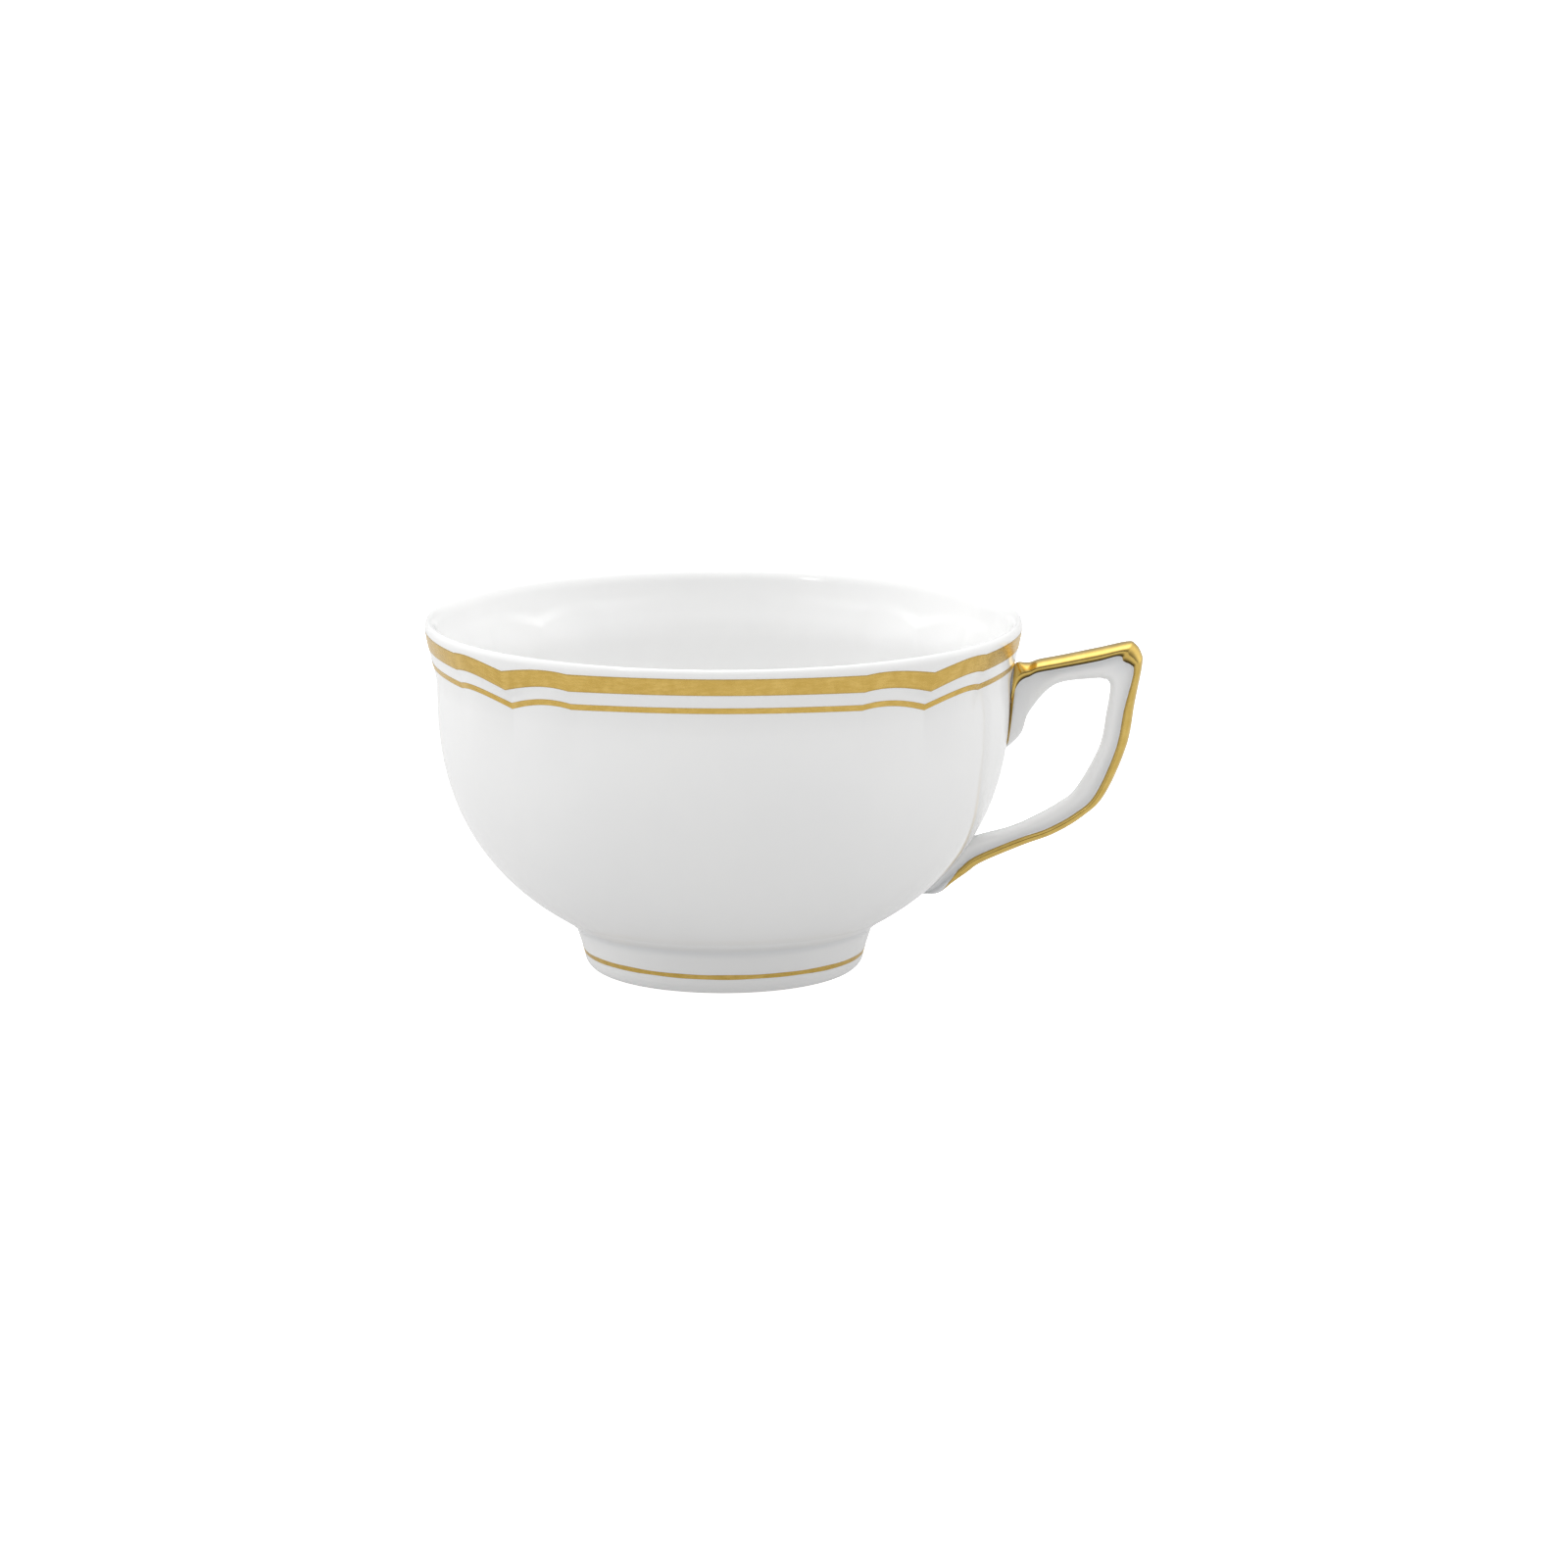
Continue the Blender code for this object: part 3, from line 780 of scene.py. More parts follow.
@dataclass
class Bowl:
    """The lobed bowl with its rolled lip and its inside.

    Attributes:
        form: Shape of the cup.
        lip_start: Where the lip leaves the outside, below the crest; lip_end is its inside end.
        crest_inset: How far the crest lies inside the widest point.
        floor_round: Rounding of the floor into the wall; base_round is the underside's.
        sag: Where rows begin to sag and sag fully below the bracket-shaped edge, and where
            above it they begin to lie level again.
        join_drop: Drop below the shoulder at which belly rows give way to wall rows.
        lip_pull: Lengths of the lip's Bezier handles, from the outside to the inside.
        columns: Columns from a lobe's middle to its corner, and from there to the point.
    """

    form: CupForm
    lip_start: float = 1.3 * MM
    lip_end: float = 1.9 * MM
    crest_inset: float = 0.55 * MM
    floor_round: float = 1.2 * MM
    base_round: float = 0.5 * MM
    sag: tuple[float, float, float] = (22 * MM, 2.4 * MM, 0.3 * MM)
    join_drop: float = 4 * MM
    lip_pull: tuple[float, ...] = (0.72 * MM, 0.30 * MM, 0.50 * MM, 1.05 * MM)
    belly_rows: int = 48
    wall_rows: int = 56
    inside_rows: int = 40
    lip_rows: int = 14
    columns: tuple[int, int] = (28, 32)
    finish: Porcelain = Porcelain("glazed_porcelain")

    def belly_heights(self, bottom: float, top: float) -> np.ndarray:
        """Heights down an oval belly, spaced by its own angle: z = s - (s - bottom) cos(a)^(2/p).

        Args:
            bottom: Height at which the oval closes.
            top: Height to stop at.

        Returns:
            Heights from bottom up to top.
        """
        form = self.form
        reach = (form.shoulder - top) / (form.shoulder - bottom)
        last = math.acos(reach ** (form.belly_power / 2))
        angle = np.linspace(0, last, self.belly_rows)
        return form.shoulder - (form.shoulder - bottom) * np.cos(angle) ** (2 / form.belly_power)

    def follow_edge(self, nominal: np.ndarray, angle: np.ndarray) -> np.ndarray:
        """Lets level rows sag with the bracket-shaped edge near it.

        z = v - fall bracket(angle) w(v), where w is 1 at the edge and 0 at the lip and low down.

        Args:
            nominal: Heights of the rows in a lobe's middle.
            angle: Angles of the columns.

        Returns:
            Heights, rows by columns.
        """
        form = self.form
        edge = form.height - form.hollow_edge
        start, full, level = self.sag
        below = smooth_step(nominal, edge - start, edge - full)
        above = 1 - smooth_step(nominal, edge + level, form.height - self.lip_start)
        sag = form.hollow_fall * form.point_drop * form.bracket(angle)
        return nominal[:, None] - (below * above)[:, None] * sag[None, :]

    def lip(self) -> tuple[np.ndarray, np.ndarray]:
        """Radii and heights over the rolled lip, from the outside to the inside.

        Two cubic Bezier curves that leave the walls along their own slopes and meet level at
        the crest.

        Returns:
            Radii and heights.
        """
        form = self.form
        zero = np.zeros(1)
        top_out, top_in = form.height - self.lip_start, form.height - self.lip_end
        step = 0.05 * MM
        ends = []
        for side, z in ((form.outer, top_out), (form.inner, top_in)):
            here, below = side(np.array([z]), zero)[0], side(np.array([z - step]), zero)[0]
            slope = unit(np.array([here - below, step]))
            ends.append((np.array([here, z]), slope))
        crest = np.array([form.rim_radius - self.crest_inset, form.height])
        level = np.array([1.0, 0.0])
        (start, out_slope), (end, in_slope) = ends
        leave, arrive, depart, land = self.lip_pull
        first = [start, start + out_slope * leave, crest + level * arrive, crest]
        last = [crest, crest - level * depart, end + in_slope * land, end]
        runs = []
        for curve in (first, last):
            t = np.linspace(0, 1, self.lip_rows)[:, None]
            a, b, c, d = curve
            runs.append((1 - t) ** 3 * a + 3 * t * (1 - t) ** 2 * b + 3 * t**2 * (1 - t) * c + t**3 * d)
        line = np.concatenate([runs[0][1:], runs[1][1:-1]])
        return line[:, 0], line[:, 1]

    def build(self) -> bpy.types.Object:
        """Builds the bowl: underside, outside, lip, inside and floor in one closed grid.

        Returns:
            The bowl.
        """
        form = self.form
        angle = form.angles(*self.columns)
        join = form.shoulder - self.join_drop
        rise = np.linspace(join, form.height - self.lip_start, self.wall_rows)
        outside = np.concatenate([self.belly_heights(form.belly_bottom, join), rise[1:]])
        z_out = self.follow_edge(outside, angle)
        r_out = form.outer(z_out, angle[None, :])
        lip_r, lip_z = self.lip()
        ones = np.ones_like(angle)[None, :]
        bottom = form.belly_bottom + form.belly_wall
        fall = np.linspace(join, form.height - self.lip_end, self.inside_rows)
        inside = np.concatenate([self.belly_heights(bottom, join), fall[1:]])[::-1]
        z_in = self.follow_edge(inside, angle)
        r_in = form.inner(z_in, angle[None, :])
        r = np.concatenate([r_out, lip_r[:, None] * ones, r_in])
        z = np.concatenate(
            [
                soft_max(z_out, form.base_height, self.base_round),
                lip_z[:, None] * ones,
                soft_max(z_in, form.floor_height, self.floor_round),
            ]
        )
        z[[0, -1]] = z[[0, -1]].mean(axis=1, keepdims=True)
        r[[0, -1]] = 0.0
        return Skin(form.place(r, z, angle[None, :])).to_object("bowl_glazed")

    def finish_pieces(self, workshop: Workshop) -> None:
        """Builds and dresses the bowl."""
        workshop.dress(self.build(), self.finish, "bowl")


@dataclass
class FootRing:
    """The turned foot ring, coved up into the bowl, with a bare rest underneath.

    Attributes:
        form: Shape of the cup.
        joint_height: Height of the crease under the bowl.
        rest_step: How far the flat rest lies inside the crease; rest_width is its width.
        bulge: How far the round bottom edge swells past the rest, up to bulge_height.
        taper: Outward lean of the side.
        cove_height: Height of the cove under the crease, rounded into the bowl by cove_blend.
        draft: How far the inner side widens upwards.
        top: Where the outside ends, inside the bowl's wall.
        saddle: Radius and height of the hidden points from there to inner_top.
        rest_round: Rounding of the rest's inner edge.
        bare_fade: Heights over which the bare clay gives way to glaze.
        painted_crease_shade: Middle and half-height of the painted shade in the cove, and its strength.
        line_tilt: How much lower the gold line runs on the handle's side.
    """

    form: CupForm
    joint_height: float = 7.9 * MM
    rest_step: float = 4.8 * MM
    rest_width: float = 1.4 * MM
    bulge: float = 2.95 * MM
    bulge_height: float = 2.6 * MM
    taper: float = 0.30
    cove_height: float = 4.0 * MM
    draft: float = 0.6 * MM
    cove_blend: float = 2.2 * MM
    top: float = 9.35 * MM
    saddle: tuple[tuple[float, float], ...] = (
        (26.0 * MM, 9.1 * MM),
        (22.0 * MM, 8.2 * MM),
        (19.3 * MM, 6.9 * MM),
    )
    inner_top: float = 6.2 * MM
    rest_round: float = 0.25 * MM
    bare_fade: tuple[float, float] = (0.05 * MM, 0.30 * MM)
    painted_crease_shade: tuple[float, float, float] = (7.6 * MM, 0.9 * MM, 0.9)
    columns: int = 360
    line_height: float = 3.2 * MM
    line_width: float = 0.8 * MM
    line_tilt: float = 0.10 * MM
    finish: Porcelain = Porcelain("foot_porcelain", has_rest=True)
    gilt: BurnishedGold = BurnishedGold("foot_line_gold", shine=0.24)

    @property
    def rest_outer(self) -> float:
        """Outer radius of the flat rest."""
        joint = self.form.outer(np.array([self.joint_height]), np.zeros(1))[0]
        return float(joint) - self.rest_step

    def side(self, z: np.ndarray) -> np.ndarray:
        """Outside of the ring: a quarter oval, then a leaning side, coved into the bowl.

        rest + bulge sqrt(1 - (1 - z/h)^2) + taper (z - h), with a quarter-round cove below the
        joint, and the bowl's own outside rounded into it.

        Args:
            z: Heights.

        Returns:
            Radii.
        """
        dip = np.clip(1 - z / self.bulge_height, 0, 1)
        lean = self.taper * np.clip(z - self.bulge_height, 0, None)
        plain = self.rest_outer + self.bulge * np.sqrt(1 - dip * dip) + lean
        cove = np.clip(1 - (self.joint_height - z) / self.cove_height, 0, 1)
        reach = self.rest_step - self.bulge - self.taper * (self.joint_height - self.bulge_height)
        ring = plain + reach * (1 - np.sqrt(np.clip(1 - cove * cove, 0, None)))
        return soft_max(ring, self.form.outer(z, np.zeros_like(z)), self.cove_blend)

    def profile(self) -> tuple[np.ndarray, np.ndarray]:
        """Closed profile of the ring: rest, outside, saddle inside the bowl's wall, inner side.

        Returns:
            Radii and heights.
        """
        turn = np.linspace(0, math.pi / 2, 26)[1:]
        round_z = self.bulge_height * (1 - np.cos(turn))
        side_z = np.concatenate([round_z, np.linspace(self.bulge_height, self.top, 60)[1:]])
        side_r = self.side(side_z)
        rest_inner = self.rest_outer - self.rest_width
        soft = np.linspace(0, math.pi / 2, 6)
        heel_r = rest_inner + self.rest_round * (1 - np.sin(soft[1:-1]))
        heel_z = self.rest_round * (1 - np.cos(soft[1:-1]))
        flat_r = np.linspace(rest_inner + self.rest_round, self.rest_outer, 8)
        saddle = np.array(self.saddle)
        inner_z = np.linspace(self.inner_top, self.rest_round, 14)
        inner_r = rest_inner + self.draft * inner_z / self.inner_top
        r = np.concatenate([flat_r, side_r, saddle[:, 0], inner_r, heel_r[::-1]])
        z = np.concatenate([0 * flat_r, side_z, saddle[:, 1], inner_z, heel_z[::-1]])
        return r, z

    def build(self) -> bpy.types.Object:
        """Turns the profile round the axis.

        Returns:
            The ring.
        """
        form = self.form
        angle = np.linspace(0, 2 * math.pi, self.columns, endpoint=False)
        r, z = self.profile()
        points = form.place(r[:, None], z[:, None], angle[None, :])
        # Painted shade in the cove under the crease: a band at that height mixed towards the deep glaze
        # colour
        middle, spread, strength = self.painted_crease_shade
        bare = 1 - smooth_step(points[..., 2], *self.bare_fade)
        painted_crease_shade = strength * np.exp(-(((points[..., 2] - middle) / spread) ** 2))
        return Skin(points, wrap_rows=True, marks={"bare": bare, "painted_crease_shade": painted_crease_shade}).to_object("foot_ring_glazed")

    def line(self) -> bpy.types.Object:
        """The hand-painted gold line round the foot, a shade lower on the handle's side.

        Returns:
            The line.
        """
        form = self.form
        angle = np.linspace(0, 2 * math.pi, 2 * self.columns, endpoint=False)
        across = np.array([0, 0.04, 0.12, 0.3, 0.5, 0.7, 0.88, 0.96, 1])
        middle = self.line_height - self.line_tilt * np.cos(angle)
        middle = middle + 0.03 * MM * np.sin(5 * angle + 0.7)
        width = self.line_width * (1 + 0.06 * np.sin(7 * angle) + 0.05 * np.sin(17 * angle + 2))
        z = middle[None, :] + (across[:, None] - 0.5) * width[None, :]
        points = form.place(self.side(z), z, angle[None, :])
        radius = self.side(np.array([self.line_height]))[0]
        return hoop_of_leaf("foot_line_gilt", points, form, painted_run(radius, angle, across))

    def finish_pieces(self, workshop: Workshop) -> None:
        """Builds and dresses the ring and its line."""
        workshop.dress(self.build(), self.finish, "foot_ring")
        workshop.dress(self.line(), self.gilt, "foot_gold_line")


def painted_run(radius: float, angle: np.ndarray, across: np.ndarray) -> np.ndarray:
    """Distance along a hoop in millimetres and share across it, with one extra column.

    Args:
        radius: Radius of the hoop.
        angle: Angles of its columns.
        across: Shares of its rows.

    Returns:
        Rows by columns + 1 by 2.
    """
    along = np.append(angle, 2 * math.pi) * radius / MM
    u, v = np.meshgrid(along, across)
    return np.stack([u, v], -1)


def hoop_of_leaf(name: str, points: np.ndarray, form: CupForm, run: np.ndarray) -> bpy.types.Object:
    """Lays gold leaf on a band right round the cup.

    The normals are the cross product of the grid's differences, turned as a whole away from
    the cup's axis.

    Args:
        name: Name of the object.
        points: Points of the band, rows by columns by 3.
        form: Shape of the cup.
        run: What painted_run gives for the band.

    Returns:
        The hoop.
    """
    around = np.roll(points, -1, axis=1) - np.roll(points, 1, axis=1)
    normals = unit(np.cross(around, np.gradient(points, axis=0)))
    radial = points - np.array([form.axis_x, 0, 0])
    radial[..., 2] = 0
    normals = normals * math.copysign(1.0, float(np.sum(normals * radial)))
    return leaf(points, normals, True, run).to_object(name)


@dataclass
class RimGilding:
    """The broad gold band and the thin line under it, both bracket-shaped.

    Attributes:
        form: Shape of the cup.
        band: Drops of the band's upper and lower edge below the crest in a lobe's middle.
        band_falls: Shares of the full fall that they take at a point.
        line: The same drops for the thin line.
        line_falls: The same shares for the thin line.
    """

    form: CupForm
    band: tuple[float, float] = (1.35 * MM, 4.05 * MM)
    band_falls: tuple[float, float] = (0.66, 0.90)
    line: tuple[float, float] = (6.0 * MM, 6.95 * MM)
    line_falls: tuple[float, float] = (0.97, 1.0)
    columns: tuple[int, int] = (56, 64)
    band_finish: BurnishedGold = BurnishedGold("band_gold")
    line_finish: BurnishedGold = BurnishedGold("line_gold", shine=0.22)

    def hoop(
        self, name: str, drops: tuple[float, float], falls: tuple[float, float], rows: int
    ) -> bpy.types.Object:
        """Builds one hoop of leaf between two bracket-shaped edges.

        Args:
            name: Name of the object.
            drops: Drops of the upper and lower edge.
            falls: Shares of the full fall of the upper and lower edge.
            rows: Rows across the hoop.

        Returns:
            The hoop.
        """
        form = self.form
        angle = form.angles(*self.columns)
        middle = np.linspace(0.1, 0.9, rows)
        across = np.concatenate([[0, 0.015, 0.05], middle, [0.95, 0.985, 1]])
        low = form.edge(drops[1], falls[1], angle)
        high = form.edge(drops[0], falls[0], angle)
        z = low[None, :] + across[:, None] * (high - low)[None, :]
        points = form.place(form.outer(z, angle[None, :]), z, angle[None, :])
        return hoop_of_leaf(name, points, form, painted_run(form.wall_radius, angle, across))

    def finish_pieces(self, workshop: Workshop) -> None:
        """Builds and dresses the band and the line."""
        band = self.hoop("rim_band_gilt", self.band, self.band_falls, 24)
        workshop.dress(band, self.band_finish, "rim_gold_band")
        line = self.hoop("rim_line_gilt", self.line, self.line_falls, 8)
        workshop.dress(line, self.line_finish, "rim_gold_line")


@dataclass
class Handle:
    """The loop handle: a white web with a rounded, gilded bead round its outer edge.

    Attributes:
        form: Shape of the cup.
        pairs: Paired points of the outer and inner edge, as shares of the reach out from the
            wall and of the rise from the crotch to the top of the corner.
        tail: Height of the tail's inner edge on the wall, and the outer edge's step out and
            step down from it.
        sink: How deep the upper root goes into the wall.
        web: Width of the web; bead is the bead's width, bead_share its most of a thin section.
        bead_depth: Depth of the bead, and bead_low on the lower arm.
        root_flare: How far the bead opens near the wall, by the law that bead_at gives.
        gilt_edge: Place round the section at which the leaf ends.
        corner_ball: How far the bead swells at corner_place along the run, over corner_run.
        crease_round: Rounding between bead and web; edge_round is the inner edge's.
        root_fillet: Fillet against the wall at the root, and tail_fillet at the tail.
        gilt_span: Where the bead's leaf begins, how far before the tail's end it stops, and
            over how long a run it narrows to a point.
        root_place: Place round the section at which the root's leaf comes to its points.
        root_width: Least width of the root's leaf, and what its crest adds, in millimetres.
        around: Points round a section; run_rows is the rows from one outline point to the next.
    """

    form: CupForm
    top_drop: float = 3.1 * MM
    crotch: float = 22.0 * MM
    root_drop: float = 6.9 * MM
    root_height: float = 15.0 * MM
    sink: float = 0.8 * MM
    web: float = 3.7 * MM
    bead: float = 4.7 * MM
    bead_depth: float = 1.92 * MM
    bead_low: float = 1.62 * MM
    root_flare: float = 3.7 * MM
    flare_start: float = 0.8 * MM
    flare_run: float = 0.7 * MM
    gilt_edge: float = 0.50
    corner_ball: float = 1.3 * MM
    corner_place: float = 6.0
    corner_run: float = 1.1
    bead_share: float = 0.45
    crease_round: float = 0.35 * MM
    edge_round: float = 1.3 * MM
    root_fillet: float = 1.0 * MM
    tail_fillet: float = 0.45 * MM
    gilt_span: tuple[float, float, float] = (0.32, 1.1, 1.6)
    root_place: float = 0.86
    root_width: tuple[float, float] = (0.60, 0.15)
    around: int = 96
    run_rows: int = 18
    root_rows: int = 30
    pairs: tuple = (
        ((0.131, 0.870), (0.078, 0.507)),
        ((0.215, 0.887), (0.143, 0.621)),
        ((0.379, 0.908), (0.335, 0.760)),
        ((0.664, 0.948), (0.634, 0.792)),
        ((0.879, 0.979), (0.698, 0.789)),
        ((0.936, 0.968), (0.724, 0.786)),
        ((0.981, 0.925), (0.742, 0.769)),
        ((0.991, 0.865), (0.749, 0.735)),
        ((0.939, 0.675), (0.722, 0.618)),
        ((0.879, 0.450), (0.668, 0.437)),
        ((0.720, 0.202), (0.496, 0.227)),
        ((0.560, 0.090), (0.364, 0.152)),
        ((0.342, -0.001), (0.195, 0.087)),
        ((0.100, -0.063), (0.004, 0.029)),
    )
    tail: tuple = (
        (20.9 * MM, 2.08 * MM, 3.65 * MM),
        (18.4 * MM, 1.53 * MM, 2.81 * MM),
        (15.8 * MM, 1.47 * MM, 1.95 * MM),
        (13.5 * MM, 1.69 * MM, 1.36 * MM),
        (12.1 * MM, 1.14 * MM, 0.06 * MM),
    )
    finish: Porcelain = Porcelain("handle_porcelain")
    gilt: BurnishedGold = polished("handle_gold")
    root_gilt: BurnishedGold = polished("root_gold")

    def on_wall(self, z: float, deep: float) -> tuple[float, float]:
        """Point of the handle's plane at height z, deep inside the wall's surface."""
        return (float(self.form.outer(np.array([z]), np.zeros(1))[0]) - deep, z)

    def outlines(self) -> tuple[np.ndarray, np.ndarray]:
        """Points of the outer and inner edge in the handle's plane, from the root to the tail.

        Returns:
            Two arrays of (distance from the axis, height).
        """
        form = self.form
        top = form.height - self.root_drop
        rise = form.height - self.top_drop - self.crotch
        outer = [self.on_wall(top, self.sink)]
        inner = [self.on_wall(top - self.root_height, self.sink)]
        for far, near in self.pairs:
            for edge, (across, up) in ((outer, far), (inner, near)):
                edge.append((form.wall_radius + form.reach * across, self.crotch + rise * up))
        for z, out, down in self.tail:
            x, z = self.on_wall(z, 0.0)
            outer.append((x + out, z - down))
            inner.append((x - 0.5 * self.sink, z))
        return np.array(outer), np.array(inner)

    @property
    def last(self) -> float:
        """Place of the tail's end along the run."""
        return float(len(self.pairs) + len(self.tail))

    def half_width(self, inwards: np.ndarray, bead: np.ndarray, depth: np.ndarray) -> np.ndarray:
        """Half the section's width at a depth from the outer edge.

        The bead is half an oval, w sqrt(1 - ((p - c)/c)^2) with c 0.6 of its depth. The web is
        a straight side that widens a little inwards and ends in a superellipse of power 2.3.

        Args:
            inwards: Depth p of each point from the outer edge.
            bead: Depth of the bead in that section.
            depth: Whole depth of that section.

        Returns:
            Half widths.
        """
        centre = 0.6 * bead
        oval = np.clip(1 - ((inwards - centre) / centre) ** 2, 0, None)
        thin = np.clip(depth / (3.2 * MM), 0.45, 1)
        round_bead = 0.5 * self.bead * thin * np.sqrt(oval)
        cap = np.minimum(self.edge_round, 0.45 * (depth - bead))
        end = np.clip((inwards - (depth - cap)) / cap, 0, 1)
        swell = 0.92 + 0.08 * smooth_step(inwards / np.maximum(depth, 1e-9), 0.3, 0.7)
        flat = 0.5 * self.web * thin * swell * (1 - end**2.3) ** (1 / 2.3)
        flat = flat * smooth_step(inwards / bead, 0.35, 0.75)
        rounding = self.crease_round * np.clip(1.0 - end, 0.02, 1)
        near = np.clip(1 - np.abs(round_bead - flat) / rounding, 0, 1) * (inwards > centre)
        return np.maximum(round_bead, flat) + rounding * near**2 / 4 * (end < 1)

    def bead_at(self, t: np.ndarray, x: np.ndarray) -> np.ndarray:
        """Depth of the bead along the run.

        It is slimmer on the lower arm and swells into a ball at the corner as a bell curve.
        Near the wall it opens like a trumpet by flare exp((start - off) / run), where off is
        the distance from the wall.

        Args:
            t: Place along the run.
            x: Distance of the outer edge from the axis.

        Returns:
            Depths.
        """
        low = smooth_step(t, 9.0, 11.5)
        plain = self.bead_depth + (self.bead_low - self.bead_depth) * low
        plain = plain + self.corner_ball * np.exp(-(((t - self.corner_place) / self.corner_run) ** 2))
        off = np.clip(x - self.form.wall_radius, 0, None)
        upper = 1 - smooth_step(t, 3.0, 4.0)
        return plain + upper * self.root_flare * np.exp((self.flare_start - off) / self.flare_run)

    def bare_surface(self, t: np.ndarray, s: np.ndarray) -> np.ndarray:
        """Surface of the handle before it is filleted into the wall.

        The point is outer(t) + p(s) inward(t) + half_width(p) sideways. p runs over the bead as
        1 - cos, then straight along the web, then as a sine over its rounded inner edge.

        Args:
            t: Place along the run, in pairs of outline points.
            s: Place round the section: 0 at the outer crest, 1 and -1 at the inner edge.

        Returns:
            Points about the cup's axis.
        """
        far, near = self.outlines()
        outer, inner = smooth_run(far, t), smooth_run(near, t)
        way = inner - outer
        depth = np.linalg.norm(way, axis=-1)
        way = way / depth[..., None]
        bead = np.minimum(self.bead_at(t, outer[..., 0]), self.bead_share * depth)
        cap = np.minimum(self.edge_round, 0.45 * (depth - bead))
        place = np.abs(s)
        over_bead = 1.2 * bead * (1 - np.cos(0.5 * math.pi * np.clip(place / 0.55, 0, 1)))
        over_web = (depth - cap - 1.2 * bead) * np.clip((place - 0.55) / 0.25, 0, 1)
        over_edge = cap * np.sin(0.5 * math.pi * np.clip((place - 0.8) / 0.2, 0, 1))
        inwards = over_bead + over_web + over_edge
        side = np.sign(s) * self.half_width(inwards, bead, depth)
        flat = outer + way * inwards[..., None]
        return np.stack([flat[..., 0], side, flat[..., 1]], -1)

    def normals_of(
        self, surface: Callable[[np.ndarray, np.ndarray], np.ndarray], t: np.ndarray, s: np.ndarray
    ) -> np.ndarray:
        """Unit normals of a surface of (t, s), from its central differences."""
        step = 0.004
        t = np.clip(t, step, self.last - step)
        along = surface(t + step, s) - surface(t - step, s)
        around = surface(t, self.folded(s + step)) - surface(t, self.folded(s - step))
        return unit(np.cross(around, along))

    @staticmethod
    def folded(s: np.ndarray) -> np.ndarray:
        """Place round the section brought back into -1 to 1."""
        return (s + 1) % 2 - 1

    def surface(self, t: np.ndarray, s: np.ndarray) -> np.ndarray:
        """Surface of the handle with a fillet against the wall.

        Within a fillet radius f of the wall, a point at distance d moves along the wall, away
        from the handle, by f - sqrt(f^2 - (f - d)^2).

        Args:
            t: Place along the run.
            s: Place round the section.

        Returns:
            Points about the cup's axis.
        """
        form = self.form
        points = self.bare_surface(t, s)
        x, y, z = points[..., 0], points[..., 1], points[..., 2]
        angle = np.arctan2(y, x)
        step = 0.1 * MM
        lean = (form.outer(z + step, angle) - form.outer(z - step, angle)) / (2 * step)
        slant = 1 / np.sqrt(1 + lean**2)
        off = (np.hypot(x, y) - form.outer(z, angle)) * slant
        fillet = self.tail_fillet + (self.root_fillet - self.tail_fillet) * (1 - smooth_step(t, 2.0, 6.0))
        fillet = fillet * (1 - 0.75 * smooth_step(np.abs(s), 0.55, 0.80))
        left = np.clip(fillet - np.clip(off, 0, None), 0, None)
        push = fillet - np.sqrt(np.clip(fillet**2 - left**2, 0, None))
        wall = np.stack([np.cos(angle) * slant, np.sin(angle) * slant, -lean * slant], -1)
        normal = self.normals_of(self.bare_surface, t, s)
        tangent = normal - wall * np.sum(normal * wall, axis=-1, keepdims=True)
        return points + tangent * push[..., None]

    def run_places(self) -> np.ndarray:
        """Places of the rows along the run, close together where the root leaves the wall."""
        root = np.linspace(0, 1, self.root_rows) ** 1.3
        rest = np.linspace(1, self.last, self.run_rows * int(self.last - 1) + 1)
        return np.concatenate([root, rest[1:]])

    def shifted(self, points: np.ndarray) -> np.ndarray:
        """Points about the cup's axis moved into the frame."""
        return points + np.array([self.form.axis_x, 0, 0])

    def build(self) -> bpy.types.Object:
        """Builds the porcelain of the handle, closed at both ends.

        Returns:
            The handle.
        """
        places = np.linspace(-1, 1, self.around, endpoint=False)
        t, s = np.meshgrid(self.run_places(), places, indexing="ij")
        points = self.surface(t, s)
        first, last = points[:1].mean(axis=1, keepdims=True), points[-1:].mean(axis=1, keepdims=True)
        caps = [np.repeat(end, points.shape[1], axis=1) for end in (first, last)]
        closed = np.concatenate([caps[0], points, caps[1]])
        # Painted shade along the crease beside the bead, darkest next to the gold and gone by the web's
        # inner edge
        crease = 1 - smooth_step(np.abs(s), 0.50, 0.86)
        painted_crease_shade = np.concatenate([crease[:1], crease, crease[-1:]])
        return Skin(self.shifted(closed), marks={"painted_crease_shade": painted_crease_shade}).to_object("handle_glazed")

    def gilding(self) -> bpy.types.Object:
        """Leaf over the bead, from the root to a point on the tail.

        Returns:
            The leaf.
        """
        begin, short, narrowing = self.gilt_span
        end = self.last - short
        rows = self.run_rows * int(end) + 1
        t = np.concatenate([np.linspace(begin, 1, 20), np.linspace(1, end, rows)[1:]])
        across = np.linspace(-1, 1, 41)
        edge = self.gilt_edge * np.sqrt(np.clip((end - t) / narrowing, 0, 1) * 0.999 + 0.001)
        t, s = np.meshgrid(t, across, indexing="ij")
        s = s * edge[:, None]
        points = self.surface(t, s)
        normals = self.outward(points, t, s)
        along = walked(points[:, across.size // 2])
        run = np.stack(np.broadcast_arrays(along[:, None], (across[None, :] + 1) / 2), -1)
        # Painted dark reflection under the bead's shoulder, where the surface looks down
        painted_shade = self.painted_crease_reflection(normals, s)
        skin = leaf(self.shifted(points), normals, False, run, painted_shade=painted_shade)
        return skin.to_object("handle_bead_gilt")

